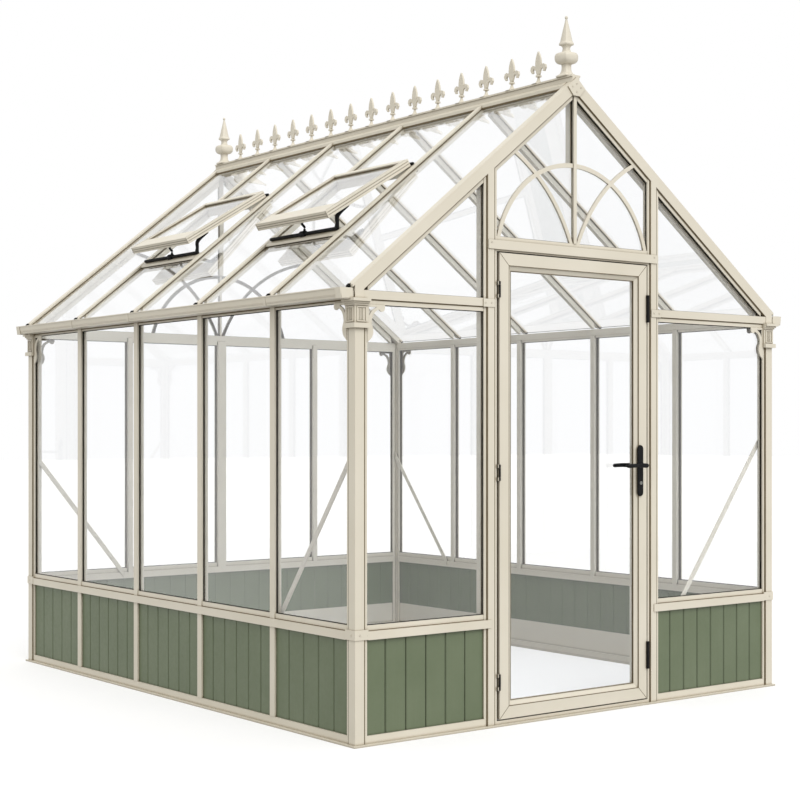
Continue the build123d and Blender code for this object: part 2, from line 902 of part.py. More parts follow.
def opener(centre):
    """Bar along the sill with one short arm at the front end and one in the middle."""
    half = vent_width / 2 - 20
    low = vent_low - 24
    bar = slope_strip("left", low, low + 22, -opener_depth, 2, centre - half, centre + half)
    front_arm = stay_arm(centre - half - 4, front_arm_reach)
    middle_arm = stay_arm(centre - arm_width / 2, middle_arm_reach)
    return fuse([bar, front_arm, middle_arm])


trimmers = []
vent_frames = []
vent_glass = []
vent_fittings = []
for centre in vent_centres:
    low = centre - bay / 2 + neck_half
    high = centre + bay / 2 - neck_half
    sill = vent_low - trimmer_width
    head = vent_high + trimmer_width
    trimmers.append(trimmer(sill, vent_low, vent_low - trimmer_neck, vent_low, low, high))
    trimmers.append(trimmer(vent_high, head, vent_high, vent_high + trimmer_neck, low, high))
    frame, pane = vent_frame_and_pane(centre)
    vent_frames.append(frame)
    vent_glass.append(pane)
    vent_fittings.append(opener(centre))
    low = centre - vent_width / 2
    high = centre + vent_width / 2
    vent_fittings.append(slope_strip("left", vent_high, vent_high + 16, -14, 2, low, high))

save("vent_trimmers", trimmers)
save("vent_frames", vent_frames)
save("vent_glass", vent_glass)
save("vent_fittings", vent_fittings)


# One flat brace inside each wall, from a corner post down to the mid rail
brace_width = 40
brace_depth = 5
brace_foot = mid_top - 6
front_brace_top = 1270
front_brace_reach = 640
rear_brace_top = 1150
rear_brace_reach = 580


def brace(wall, sign, top, reach):
    half = end_y if wall in ("left", "right") else side_x
    low = sign * (half - bead_back)
    high = sign * (half - reach)
    step = brace_width / 2
    points = [(low, top + step), (low, top - step), (high, brace_foot - step), (high, brace_foot + step)]
    return wall_plate(wall, polygon(points), rail_depth, rail_depth + brace_depth)


braces = [
    brace("left", -1, front_brace_top, front_brace_reach),
    brace("front", 1, front_brace_top, front_brace_reach),
    brace("right", 1, rear_brace_top, rear_brace_reach),
    brace("back", -1, rear_brace_top, rear_brace_reach),
]
save("corner_braces", braces)


# Scrolled brackets where the corner posts meet the eave rails
bracket_across = 92
bracket_down = 160
bracket_waist = 24
bracket_scroll = 31


def bracket(wall, sign):
    """Knob under the rail, a curved arm with an open eye, and a scroll down the post."""
    end = "side" if wall in ("left", "right") else "end"
    half = end_y if wall in ("left", "right") else side_x
    start = half - post_reach
    top = eave_bottom - eave_bead[end]

    def place(across, down):
        return (sign * (start - across), top - down)

    edges = [
        Line(place(0, 0), place(bracket_across, 0)),
        Line(place(bracket_across, 0), place(bracket_across, 12)),
        ThreePointArc(place(bracket_across, 12), place(80, 28), place(62, 20)),
        ThreePointArc(place(62, 20), place(36, 36), place(bracket_waist, 62)),
        ThreePointArc(place(bracket_waist, 62), place(22, 74), place(bracket_waist, 86)),
        ThreePointArc(place(bracket_waist, 86), place(bracket_scroll, 114), place(20, 142)),
        Line(place(20, 142), place(0, bracket_down)),
        Line(place(0, bracket_down), place(0, 0)),
    ]
    eye = polygon([place(8, 10), place(50, 10), place(25, 24), place(10, 46)])
    return wall_plate(wall, make_face(edges) - eye, cap_face, cap_face + 6)


all_walls = ("left", "right", "front", "back")
save("corner_brackets", [bracket(wall, sign) for wall in all_walls for sign in (-1, 1)])


# Door: mitred frame with stepped beads, one tall pane, lever handle and hinges
def door_ring(half, low, high, border, inner, outer):
    full = wall_block("front", ridge_x - half, ridge_x + half, inner, outer, low, high)
    hole = wall_block(
        "front",
        ridge_x - half + border,
        ridge_x + half - border,
        inner - 1,
        outer + 1,
        low + border,
        high - border,
    )
    return full - hole


handle_x = ridge_x + leaf_half - 49
handle_z = 1145
handle_plate_length = 243
handle_plate_width = 35
handle_plate_z = 1120
plate_proud = 10
keyhole_z = 1061
keyhole_radius = 9
spindle_radius = 5
neck_radius = 9
lever_radius = 8.5
outer_lever_length = 130
inner_lever_length = 95
lever_outer_reach = 57
lever_inner_reach = 36
turning_gap = 0.5
leaf_glass_face = 18
leaf_glass_back = 22
bead_half = leaf_half - leaf_face
bead_low = leaf_bottom + leaf_face
bead_high = leaf_top - leaf_face


def rod(x, y_low, y_high, z, radius):
    """Round bar along Y."""
    centre = Pos(x, (y_low + y_high) / 2, z)
    return centre * Rot(90, 0, 0) * Cylinder(radius, y_high - y_low)


spindle_hole = rod(handle_x, -end_y - 60, -end_y + 60, handle_z, spindle_radius + 1)
door_frame = fuse(
    [
        door_ring(leaf_half, leaf_bottom, leaf_top, leaf_face, 0, leaf_depth),
        door_ring(bead_half, bead_low, bead_high, leaf_bead, 8, 16),
        door_ring(bead_half, bead_low, bead_high, leaf_bead, 24, 32),
    ]
)
save("door_frame", [door_frame - spindle_hole])
door_pane = wall_block(
    "front",
    ridge_x - bead_half,
    ridge_x + bead_half,
    leaf_glass_face,
    leaf_glass_back,
    bead_low,
    bead_high,
)
save("door_glass", [door_pane])

plate_face = Pos(handle_x, handle_plate_z) * Rot(0, 0, 90)
plate_face = plate_face * SlotOverall(handle_plate_length, handle_plate_width)
keyhole = rod(handle_x, -end_y - plate_proud - 4, -end_y - plate_proud, keyhole_z, keyhole_radius)
outer_plate = wall_plate("front", plate_face, -plate_proud, 0) + keyhole
inner_plate = wall_plate("front", plate_face, leaf_depth, leaf_depth + plate_proud)
save("handle_plates", [outer_plate - spindle_hole, inner_plate - spindle_hole])

lever_outer_y = -end_y - lever_outer_reach
lever_inner_y = -end_y + leaf_depth + lever_inner_reach
outer_seat = -end_y - plate_proud - turning_gap
inner_seat = -end_y + leaf_depth + plate_proud + turning_gap


def lever_bar(y, reach):
    middle = Pos(handle_x - reach / 2, y, handle_z)
    end = Pos(handle_x - reach, y, handle_z)
    return middle * Rot(0, 90, 0) * Cylinder(lever_radius, reach) + end * Sphere(lever_radius)


lever = fuse(
    [
        rod(handle_x, lever_outer_y - neck_radius, lever_inner_y + neck_radius, handle_z, spindle_radius),
        rod(handle_x, lever_outer_y - neck_radius, outer_seat, handle_z, neck_radius),
        rod(handle_x, inner_seat, lever_inner_y + neck_radius, handle_z, neck_radius),
        lever_bar(lever_outer_y, outer_lever_length),
        lever_bar(lever_inner_y, inner_lever_length),
    ]
)
save("door_lever", [lever])

# Three hinges on the left edge: a middle knuckle on the leaf between two on the post
hinge_line_x = ridge_x - leaf_half - 3
hinge_line_y = -end_y - 5
hinge_radius = 4
leaf_knuckle = 40
post_knuckle = 15
knuckle_gap = 1
strap_length = 7
strap_thick = 3
post_leaf = 4
hinge_inset = 165
hinge_middle = 1124
hinge_heights = (leaf_bottom + hinge_inset, hinge_middle, leaf_top - hinge_inset + 1)
door_hinges = []
post_hinges = []
for height in hinge_heights:
    barrel = Pos(hinge_line_x, hinge_line_y, height) * Cylinder(hinge_radius, leaf_knuckle)
    low = height - leaf_knuckle / 2
    high = height + leaf_knuckle / 2
    strap = wall_block("front", hinge_line_x, hinge_line_x + strap_length, -strap_thick, 0, low, high)
    door_hinges.append(barrel + strap)
    for sign in (-1, 1):
        centre = height + sign * (leaf_knuckle / 2 + knuckle_gap + post_knuckle / 2)
        low = centre - post_knuckle / 2
        high = centre + post_knuckle / 2
        knuckle = Pos(hinge_line_x, hinge_line_y, centre) * Cylinder(hinge_radius, post_knuckle)
        edge = ridge_x - opening_half - post_leaf
        tail = wall_block("front", edge, hinge_line_x, -9, -9 + post_leaf, low, high)
        leg = wall_block("front", edge, edge + post_leaf, -9, base_setback, low, high)
        post_hinges.append(knuckle + tail + leg)
save("door_hinges", door_hinges)
save("post_hinges", post_hinges)

# Lock covers on the closing edge
cover_inset = 142
cover_length = 130
low_cover = (leaf_bottom + cover_inset, leaf_bottom + cover_inset + cover_length)
high_cover = (leaf_top - cover_inset - cover_length, leaf_top - cover_inset)
cover_left = ridge_x + leaf_half - 4
cover_right = ridge_x + leaf_half + 9
covers = [wall_block("front", cover_left, cover_right, -12, 0, low, high) for low, high in (low_cover, high_cover)]
save("lock_covers", covers)
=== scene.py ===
# Glass greenhouse: finishes, small fittings, stage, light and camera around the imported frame.
import json
import math
import bmesh
import bpy
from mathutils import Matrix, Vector


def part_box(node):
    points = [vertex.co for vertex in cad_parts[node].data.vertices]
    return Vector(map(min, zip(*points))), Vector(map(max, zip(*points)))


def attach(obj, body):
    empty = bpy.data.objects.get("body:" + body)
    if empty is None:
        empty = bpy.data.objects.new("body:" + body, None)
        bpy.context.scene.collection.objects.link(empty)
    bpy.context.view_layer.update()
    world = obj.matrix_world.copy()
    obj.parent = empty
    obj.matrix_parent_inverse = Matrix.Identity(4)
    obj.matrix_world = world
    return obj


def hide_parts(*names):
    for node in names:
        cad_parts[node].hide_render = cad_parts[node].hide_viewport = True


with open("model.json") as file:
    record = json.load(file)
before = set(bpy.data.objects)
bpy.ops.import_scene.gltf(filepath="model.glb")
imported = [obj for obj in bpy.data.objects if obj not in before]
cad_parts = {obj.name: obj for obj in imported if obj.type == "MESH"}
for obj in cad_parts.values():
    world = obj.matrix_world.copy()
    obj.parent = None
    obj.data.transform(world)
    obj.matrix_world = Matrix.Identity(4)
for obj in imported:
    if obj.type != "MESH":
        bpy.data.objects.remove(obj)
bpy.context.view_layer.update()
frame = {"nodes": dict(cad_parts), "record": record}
nodes = frame["nodes"]
print("frame loaded:", len(nodes), "nodes")


# material building

def newMaterial(name):
    material = bpy.data.materials.new(name)
    material.use_nodes = True
    tree = material.node_tree
    tree.nodes.clear()
    output = tree.nodes.new("ShaderNodeOutputMaterial")
    shader = tree.nodes.new("ShaderNodeBsdfPrincipled")
    tree.links.new(shader.outputs["BSDF"], output.inputs["Surface"])
    return material, tree, shader, output


def objectCoords(tree):
    return tree.nodes.new("ShaderNodeTexCoord").outputs["Object"]


def stretched(tree, coords, scale):
    mapping = tree.nodes.new("ShaderNodeMapping")
    mapping.inputs["Scale"].default_value = scale
    tree.links.new(coords, mapping.inputs["Vector"])
    return mapping.outputs["Vector"]


def noiseValue(tree, scale, detail, coords):
    noiseNode = tree.nodes.new("ShaderNodeTexNoise")
    noiseNode.inputs["Scale"].default_value = scale
    noiseNode.inputs["Detail"].default_value = detail
    tree.links.new(coords, noiseNode.inputs["Vector"])
    return noiseNode.outputs["Fac"]


def spread(tree, value, low, high, start=0.3, end=0.7):
    # maps part of a value's range to another range
    mapNode = tree.nodes.new("ShaderNodeMapRange")
    mapNode.inputs["From Min"].default_value = start
    mapNode.inputs["From Max"].default_value = end
    mapNode.inputs["To Min"].default_value = low
    mapNode.inputs["To Max"].default_value = high
    tree.links.new(value, mapNode.inputs["Value"])
    return mapNode.outputs["Result"]


def blendColours(tree, factor, first, second):
    mix = tree.nodes.new("ShaderNodeMix")
    mix.data_type = "RGBA"
    for socket, value in (("A", first), ("B", second)):
        target = [s for s in mix.inputs if s.name == socket and s.type == "RGBA"][0]
        if isinstance(value, tuple):
            target.default_value = (*value, 1)
        else:
            tree.links.new(value, target)
    factorSocket = [s for s in mix.inputs if s.name == "Factor" and s.type == "VALUE"][0]
    tree.links.new(factor, factorSocket)
    return [s for s in mix.outputs if s.type == "RGBA"][0]


# settings of the painted shade in corners and joints
creaseShadeLook = {"samples": 6, "full": 0.30, "clear": 0.88}


def paintedCreaseShade(tree, reach):
    # painted shade: 1 deep in corners and joints, where shade falls, 0 on open faces
    hollow = tree.nodes.new("ShaderNodeAmbientOcclusion")
    hollow.samples = creaseShadeLook["samples"]
    hollow.inputs["Distance"].default_value = reach
    return spread(tree, hollow.outputs["AO"], 1.0, 0.0, creaseShadeLook["full"], creaseShadeLook["clear"])


def bumped(tree, shader, height, strength, distance):
    bump = tree.nodes.new("ShaderNodeBump")
    bump.inputs["Strength"].default_value = strength
    bump.inputs["Distance"].default_value = distance
    tree.links.new(height, bump.inputs["Height"])
    tree.links.new(bump.outputs["Normal"], shader.inputs["Normal"])


creamPaint = {
    "light": (0.70, 0.655, 0.56),
    "shade": (0.655, 0.61, 0.51),
    # colour of the painted shade in corners and joints, and how far it reaches
    "creaseShade": (0.23, 0.18, 0.11),
    "creaseShadeReach": 0.015,
    "patchScale": 3.0,
    "roughness": (0.34, 0.46),
    "roughScale": 40.0,
    "orangePeel": 700.0,
    "bump": (0.12, 0.0004),  # strength and distance
}


def makeCream():
    material, tree, shader, output = newMaterial("creamPowderCoat")
    coords = objectCoords(tree)
    patches = spread(tree, noiseValue(tree, creamPaint["patchScale"], 3.0, coords), 0.0, 1.0)
    colour = blendColours(tree, patches, creamPaint["light"], creamPaint["shade"])
    # painted shade: colour darkened towards brown in corners and joints
    colour = blendColours(tree, paintedCreaseShade(tree, creamPaint["creaseShadeReach"]), colour, creamPaint["creaseShade"])
    tree.links.new(colour, shader.inputs["Base Color"])
    rough = spread(tree, noiseValue(tree, creamPaint["roughScale"], 2.0, coords), *creamPaint["roughness"])
    tree.links.new(rough, shader.inputs["Roughness"])
    bumped(tree, shader, noiseValue(tree, creamPaint["orangePeel"], 2.0, coords), *creamPaint["bump"])
    return material


greenPaint = {
    "light": (0.140, 0.173, 0.102),
    "dark": (0.116, 0.148, 0.082),
    # colour of the painted shade in corners and joints, and how far it reaches
    "creaseShade": (0.035, 0.045, 0.02),
    "creaseShadeReach": 0.014,
    "grain": (90, 90, 2.5),  # fine across the boards and long down them
    "grainShare": 0.35,
    "patchScale": 5.0,
    "roughness": (0.42, 0.55),
    "roughScale": 60.0,
    "bump": (0.12, 0.0006),
}


def makeGreen():
    material, tree, shader, output = newMaterial("greenBoardPaint")
    coords = objectCoords(tree)
    grain = noiseValue(tree, 1.0, 5.0, stretched(tree, coords, greenPaint["grain"]))
    patches = spread(tree, noiseValue(tree, greenPaint["patchScale"], 3.0, coords), 0.0, 1.0)
    colour = blendColours(tree, patches, greenPaint["light"], greenPaint["dark"])
    streaks = spread(tree, grain, 0.0, greenPaint["grainShare"])
    colour = blendColours(tree, streaks, colour, greenPaint["dark"])
    # painted shade: colour darkened in corners and joints
    colour = blendColours(tree, paintedCreaseShade(tree, greenPaint["creaseShadeReach"]), colour, greenPaint["creaseShade"])
    tree.links.new(colour, shader.inputs["Base Color"])
    rough = spread(tree, noiseValue(tree, greenPaint["roughScale"], 2.0, coords), *greenPaint["roughness"])
    tree.links.new(rough, shader.inputs["Roughness"])
    bumped(tree, shader, grain, *greenPaint["bump"])
    return material


clearGlass = {
    "tint": (0.991, 0.994, 0.998),
    "ior": 1.56,
    "shadowTint": (0.72, 0.76, 0.80),
    "waveScale": 1.2,
    "bump": (0.006, 0.002),
}


def makeGlass():
    material, tree, shader, output = newMaterial("clearGlass")
    shader.inputs["Base Color"].default_value = (*clearGlass["tint"], 1)
    shader.inputs["Roughness"].default_value = 0.0
    shader.inputs["Transmission Weight"].default_value = 1.0
    shader.inputs["IOR"].default_value = clearGlass["ior"]
    waves = noiseValue(tree, clearGlass["waveScale"], 1.0, objectCoords(tree))
    bumped(tree, shader, waves, *clearGlass["bump"])
    # lamps shine through the panes
    path = tree.nodes.new("ShaderNodeLightPath")
    through = tree.nodes.new("ShaderNodeBsdfTransparent")
    through.inputs["Color"].default_value = (*clearGlass["shadowTint"], 1)
    mix = tree.nodes.new("ShaderNodeMixShader")
    tree.links.new(path.outputs["Is Shadow Ray"], mix.inputs["Fac"])
    tree.links.new(shader.outputs["BSDF"], mix.inputs[1])
    tree.links.new(through.outputs["BSDF"], mix.inputs[2])
    tree.links.new(mix.outputs["Shader"], output.inputs["Surface"])
    return material


blackFittingPaint = {
    "colour": (0.005, 0.005, 0.006),
    "worn": (0.010, 0.010, 0.010),
    "roughness": (0.5, 0.65),
    "grain": 1200.0,
}
blackSealRubber = {
    "colour": (0.008, 0.008, 0.007),
    "worn": (0.018, 0.017, 0.015),
    "roughness": (0.6, 0.8),
    "grain": 900.0,
}
# brown for painted shade lines in grooves, mitres and along bar edges, and for the vent seals
brownSealantAndPaintedShade = {
    "colour": (0.18, 0.143, 0.088),
    "worn": (0.135, 0.107, 0.066),
    "roughness": (0.6, 0.8),
    "grain": 700.0,
}
steelKeyCylinder = {
    "colour": (0.24, 0.24, 0.23),
    "worn": (0.15, 0.15, 0.145),
    "roughness": (0.25, 0.45),
    "grain": 900.0,
}


def makeSmallFinish(name, look):
    # one recipe for black paint, rubber seals, the brown of seals and painted shade lines, and the key
    # cylinder
    material, tree, shader, output = newMaterial(name)
    coords = objectCoords(tree)
    patches = spread(tree, noiseValue(tree, 25.0, 3.0, coords), 0.0, 1.0)
    tree.links.new(blendColours(tree, patches, look["colour"], look["worn"]), shader.inputs["Base Color"])
    rough = spread(tree, noiseValue(tree, 80.0, 2.0, coords), *look["roughness"])
    tree.links.new(rough, shader.inputs["Roughness"])
    shader.inputs["Specular IOR Level"].default_value = 0.12
    bumped(tree, shader, noiseValue(tree, look["grain"], 2.0, coords), 0.1, 0.0003)
    return material


finishes = {
    "cream_frame": makeCream(),
    "green_boarding": makeGreen(),
    "clear_glass": makeGlass(),
    "black_fittings": makeSmallFinish("blackFittingPaint", blackFittingPaint),
    "seal": makeSmallFinish("blackSealRubber", blackSealRubber),
    # brown finish: painted shade lines, and seals
    "sealsAndPaintedShade": makeSmallFinish("brownSealantAndPaintedShade", brownSealantAndPaintedShade),
    "steel": makeSmallFinish("steelKeyCylinder", steelKeyCylinder),
}
for part in frame["record"]["subparts"]:
    piece = nodes[part["node"]]
    piece.data.materials.clear()
    piece.data.materials.append(finishes[part["material_slot"]])
print("materials ready")


# where things are, from the frame

section = {
    "capFace": 0.004,  # depth of the bar caps
    "capHalf": 0.014,
    "postSize": 0.046,  # corner post, its groove and its flange, in from the corner
    "grooveEnd": 0.054,
    "postReach": 0.066,
    "eaveRise": 0.031,  # roof line above the eave rail
    "apexRise": 0.004,  # apex plates above the roof line
    "rafterDrop": 0.064,  # undersides of the rafters and their beads below the roof line
    "beadDrop": 0.088,
    "ridgeHalf": 0.022,
    "ridgeFlange": 0.020,
    "capitalHeight": 0.122,
    "mullionHalf": 0.009,
}


def solidBoxes(name):
    # lowest and highest corner of each separate solid in a node
    shape = bmesh.new()
    shape.from_mesh(nodes[name].data)
    bmesh.ops.remove_doubles(shape, verts=shape.verts, dist=0.00001)
    waiting = set(shape.verts)
    boxes = []
    while waiting:
        group = [waiting.pop()]
        for vert in group:
            for edge in vert.link_edges:
                other = edge.other_vert(vert)
                if other in waiting:
                    waiting.remove(other)
                    group.append(other)
        low = Vector([min(vert.co[axis] for vert in group) for axis in range(3)])
        high = Vector([max(vert.co[axis] for vert in group) for axis in range(3)])
        boxes.append((low, high))
    shape.free()
    return sorted(boxes, key=lambda pair: tuple(pair[0]))


wallX = section["capFace"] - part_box("left_wall_bars")[0].x
wallY = section["capFace"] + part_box("back_wall_bars")[1].y
ridgeX = (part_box("ridge_beam")[0].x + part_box("ridge_beam")[1].x) / 2
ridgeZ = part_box("apex_plates")[1].z - section["apexRise"]
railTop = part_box("eave_rails_side")[1].z
eaveZ = railTop + section["eaveRise"]
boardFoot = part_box("panels_side")[0].z
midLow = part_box("panels_side")[1].z
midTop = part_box("left_wall_glass")[0].z
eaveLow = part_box("left_wall_glass")[1].z
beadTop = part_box("mid_rails_side")[1].z
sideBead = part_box("eave_rails_side")[0].z
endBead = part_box("eave_rails_end")[0].z
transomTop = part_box("transom")[1].z
capitalFoot = eaveLow - section["capitalHeight"]
doorPosts = sorted(solidBoxes("door_posts"), key=lambda pair: pair[0].x)
leafLow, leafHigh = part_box("door_frame")
wallNames = ("left", "right", "front", "back")


def halfLength(wall):
    return wallY if wall in ("left", "right") else wallX


def slopeReach(side):
    # level distance from a side wall to the ridge
    return wallX + ridgeX if side == "left" else wallX - ridgeX


def roofPoint(side, run, drop):
    # level distance in from the wall and depth below the roof line, as X and Z
    height = eaveZ + run * (ridgeZ - eaveZ) / slopeReach(side) - drop
    return (run - wallX if side == "left" else wallX - run), height


def roofHeight(x, drop):
    side = "left" if x <= ridgeX else "right"
    run = wallX + x if side == "left" else wallX - x
    return roofPoint(side, run, drop)[1]


def runAt(side, height, drop):
    # level distance at which a line below the roof reaches a height
    start = roofPoint(side, 0, drop)[1]
    step = roofPoint(side, 1, drop)[1] - start
    return (height - start) / step


def barEdges(wall):
    # both edges of each upright bar, in order along the wall
    axis = 1 if wall in ("left", "right") else 0
    boxes = solidBoxes(f"{wall}_wall_bars")
    return sorted({(round(low[axis], 4), round(high[axis], 4)) for low, high in boxes})


def wallOpenings(wall):
    # clear widths between the posts and bar caps
    reach = halfLength(wall) - section["postReach"]
    if wall == "front":
        return [(-reach, doorPosts[0][0].x), (doorPosts[1][1].x, reach)]
    stops = [-reach]
    for start, end in barEdges(wall):
        stops += [start, end]
    stops.append(reach)
    return list(zip(stops[0::2], stops[1::2]))


# shape building

def wallPoint(wall, along, depth, height):
    # depth runs inwards from the outer wall face
    if wall == "left":
        return (depth - wallX, along, height)
    if wall == "right":
        return (wallX - depth, along, height)
    if wall == "front":
        return (along, depth - wallY, height)
    return (along, wallY - depth, height)


def addPrism(shape, lower, upper):
    # closed solid between two matching outlines
    low = [shape.verts.new(point) for point in lower]
    high = [shape.verts.new(point) for point in upper]
    count = len(low)
    shape.faces.new(low)
    shape.faces.new(high[::-1])
    for index in range(count):
        after = (index + 1) % count
        shape.faces.new((low[index], low[after], high[after], high[index]))


def addPlate(shape, wall, outline, inner, outer):
    # outline of distance along the wall and height
    rear = [wallPoint(wall, along, inner, height) for along, height in outline]
    front = [wallPoint(wall, along, outer, height) for along, height in outline]
    addPrism(shape, rear, front)


def addUpright(shape, wall, outline, low, high):
    # outline of distance along the wall and depth
    foot = [wallPoint(wall, along, depth, low) for along, depth in outline]
    head = [wallPoint(wall, along, depth, high) for along, depth in outline]
    addPrism(shape, foot, head)


def addBox(shape, wall, start, end, inner, outer, low, high):
    # straight block between two distances along the wall, two depths and two heights
    addPlate(shape, wall, [(start, low), (end, low), (end, high), (start, high)], inner, outer)


def addSlope(shape, side, runs, drops, yLow, yHigh):
    # strip along the roof between two level distances and two depths below the roof line
    corners = [(runs[0], drops[0]), (runs[1], drops[0]), (runs[1], drops[1]), (runs[0], drops[1])]
    outline = [roofPoint(side, run, drop) for run, drop in corners]
    addPlate(shape, "front", outline, wallY + yLow, wallY + yHigh)


def insetOutline(outline, width):
    # convex outline moved inwards by a width
    area = sum(a[0] * b[1] - b[0] * a[1] for a, b in zip(outline, outline[1:] + outline[:1]))
    turn = 1 if area > 0 else -1
    moved = []
    count = len(outline)
    for index in range(count):
        before = Vector(outline[index - 1])
        here = Vector(outline[index])
        after = Vector(outline[(index + 1) % count])
        first = (here - before).normalized()
        second = (after - here).normalized()
        inward = Vector((-first.y, first.x)) * turn
        onward = Vector((-second.y, second.x)) * turn
        lean = (inward + onward) / (1 + inward.dot(onward))
        moved.append(tuple(here + lean * width))
    return moved


def addFrame(shape, wall, outline, width, faces, back, skip=None):
    # mitred frame inside an outline; faces gives the front depth at its outer and inner edge
    inner = insetOutline(outline, width)
    for index in range(len(outline)):
        if index == skip:
            continue
        after = (index + 1) % len(outline)
        corners = [outline[index], outline[after], inner[after], inner[index]]
        depths = [faces[0], faces[0], faces[1], faces[1]]
        front = [wallPoint(wall, a, depth, h) for (a, h), depth in zip(corners, depths)]
        rear = [wallPoint(wall, a, back, h) for a, h in corners]
        addPrism(shape, front, rear)


def closeRings(shape, rings):
    # skin over matching rings, capped at both ends
    count = len(rings[0])
    for low, high in zip(rings, rings[1:]):
        for step in range(count):
            after = (step + 1) % count
            shape.faces.new((low[step], low[after], high[after], high[step]))
    shape.faces.new(rings[0][::-1])
    shape.faces.new(rings[-1])


def addTurned(shape, base, axis, stages, sides):
    # turned solid through stages of radius and height along an axis
    axis = Vector(axis).normalized()
    across = axis.orthogonal().normalized() if abs(axis.z) < 0.99 else Vector((1, 0, 0))
    other = axis.cross(across)
    rings = []
    for radius, height in stages:
        ring = []
        for step in range(sides):
            angle = 2 * math.pi * (step + 0.5) / sides
            reach = across * math.cos(angle) + other * math.sin(angle)
            ring.append(shape.verts.new(Vector(base) + axis * height + reach * radius))
        rings.append(ring)
    closeRings(shape, rings)


def smoothed(points, steps=5):
    # rounded path through points
    points = [Vector(point) for point in points]
    last = len(points) - 1
    path = []
    for index in range(last):
        a, b, c, d = [points[min(max(index + shift, 0), last)] for shift in (-1, 0, 1, 2)]
        for step in range(steps):
            t = step / steps
            bend = (2 * a - 5 * b + 4 * c - d) * t ** 2 + (3 * b - a - 3 * c + d) * t ** 3
            path.append(0.5 * (2 * b + (c - a) * t + bend))
    path.append(points[-1])
    return path


def addTube(shape, path, radii, sides=10):
    # round bar along a path, thick at each point as radii says
    rings = []
    for index, point in enumerate(path):
        before = path[max(index - 1, 0)]
        after = path[min(index + 1, len(path) - 1)]
        ahead = (after - before).normalized()
        across = ahead.cross(Vector((0, 0, 1)))
        if across.length < 0.1:
            across = ahead.cross(Vector((0, 1, 0)))
        across.normalize()
        other = ahead.cross(across)
        ring = []
        for step in range(sides):
            angle = 2 * math.pi * step / sides
            reach = across * math.cos(angle) + other * math.sin(angle)
            ring.append(shape.verts.new(point + reach * radii[index]))
        rings.append(ring)
    closeRings(shape, rings)


def finishPiece(name, shape, finish, body="house", stands=(), edge=0.0, smooth=35):
    # one object with its finish, its body and the nodes it stands for
    bmesh.ops.recalc_face_normals(shape, faces=shape.faces)
    mesh = bpy.data.meshes.new(name)
    shape.to_mesh(mesh)
    shape.free()
    piece = bpy.data.objects.new(name, mesh)
    bpy.context.collection.objects.link(piece)
    mesh.materials.append(finishes[finish])
    mesh.shade_smooth()
    mesh.set_sharp_from_angle(angle=math.radians(smooth))
    if edge:
        bevel = piece.modifiers.new("softEdges", "BEVEL")
        bevel.width = edge
        bevel.segments = 2
        bevel.limit_method = "ANGLE"
    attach(piece, body)
    for node in stands:
        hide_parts(node)


# boards of the lower walls

boarding = {
    "pitch": 0.1035,
    "face": 0.0145,
    "back": 0.0278,
    "chamfer": 0.0044,
    "slit": 0.0011,
    "tongueFace": 0.023,
    "tongue": (-0.006, 0.004),
}
lining = {
    "face": 0.0300,
    "chamfer": 0.0018,
    "slit": 0.0005,
    "railTop": 0.165,
    "railFace": 0.0330,
    "railLap": 0.001,
}


def addBoards(shape, wall, start, end, face, cut, slit):
    # row of boards with bevelled edges at the face, outside or inside
    back = boarding["back"]
    count = round((end - start) / boarding["pitch"])
    width = (end - start) / count
    outside = back > face
    inward = cut if outside else -cut
    for index in range(count):
        low = start + index * width + slit
        high = start + (index + 1) * width - slit
        outline = [
            (low, back),
            (low, face + inward),
            (low + cut, face),
            (high - cut, face),
            (high, face + inward),
            (high, back),
        ]
        addUpright(shape, wall, outline, boardFoot, midLow)
        if index and outside:
            tongueStart, tongueEnd = (low + reach for reach in boarding["tongue"])
            addBox(shape, wall, tongueStart, tongueEnd, boarding["tongueFace"], back, boardFoot, midLow)


footRails = bmesh.new()
for node in ("panels_side", "panels_end"):
    shape = bmesh.new()
    runs = {}
    for low, high in solidBoxes(node):
        if node == "panels_side":
            wall, start, end = ("left" if low.x < 0 else "right", low.y, high.y)
        else:
            wall, start, end = ("front" if low.y < 0 else "back", low.x, high.x)
        addBoards(shape, wall, start, end, boarding["face"], boarding["chamfer"], boarding["slit"])
        runs.setdefault(wall, []).append((start, end))
    for wall, spans in runs.items():
        # inner lining with a rail at its foot, whole behind the bars but open at the door
        if wall != "front":
            spans = [(min(spans)[0], max(spans)[1])]
        for start, end in spans:
            addBoards(shape, wall, start, end, lining["face"], lining["chamfer"], lining["slit"])
            depths = (lining["face"] - lining["railLap"], lining["railFace"])
            addBox(footRails, wall, start, end, *depths, boardFoot, lining["railTop"])
    finishPiece(node.replace("panels", "boards"), shape, "green_boarding", stands=[node])
finishPiece("inner_foot_rails", footRails, "cream_frame", edge=0.0008)
print("boards ready")


# inner legs of the end rafters and of the mullion over the door

innerLegs = {
    "depths": (0.0375, 0.060),
    "drops": (0.062, 0.104),
    "clear": 0.030,  # short of the ridge
    "webHalf": 0.0119,
    "webLift": 0.001,
}

shape = bmesh.new()
for sign in (-1, 1):
    ys = sorted(sign * (wallY - depth) for depth in innerLegs["depths"])
    for side in ("left", "right"):
        runs = (runAt(side, railTop, innerLegs["drops"][1]), slopeReach(side) - innerLegs["clear"])
        addSlope(shape, side, runs, innerLegs["drops"], *ys)
finishPiece("rafter_legs", shape, "cream_frame", edge=0.0008)

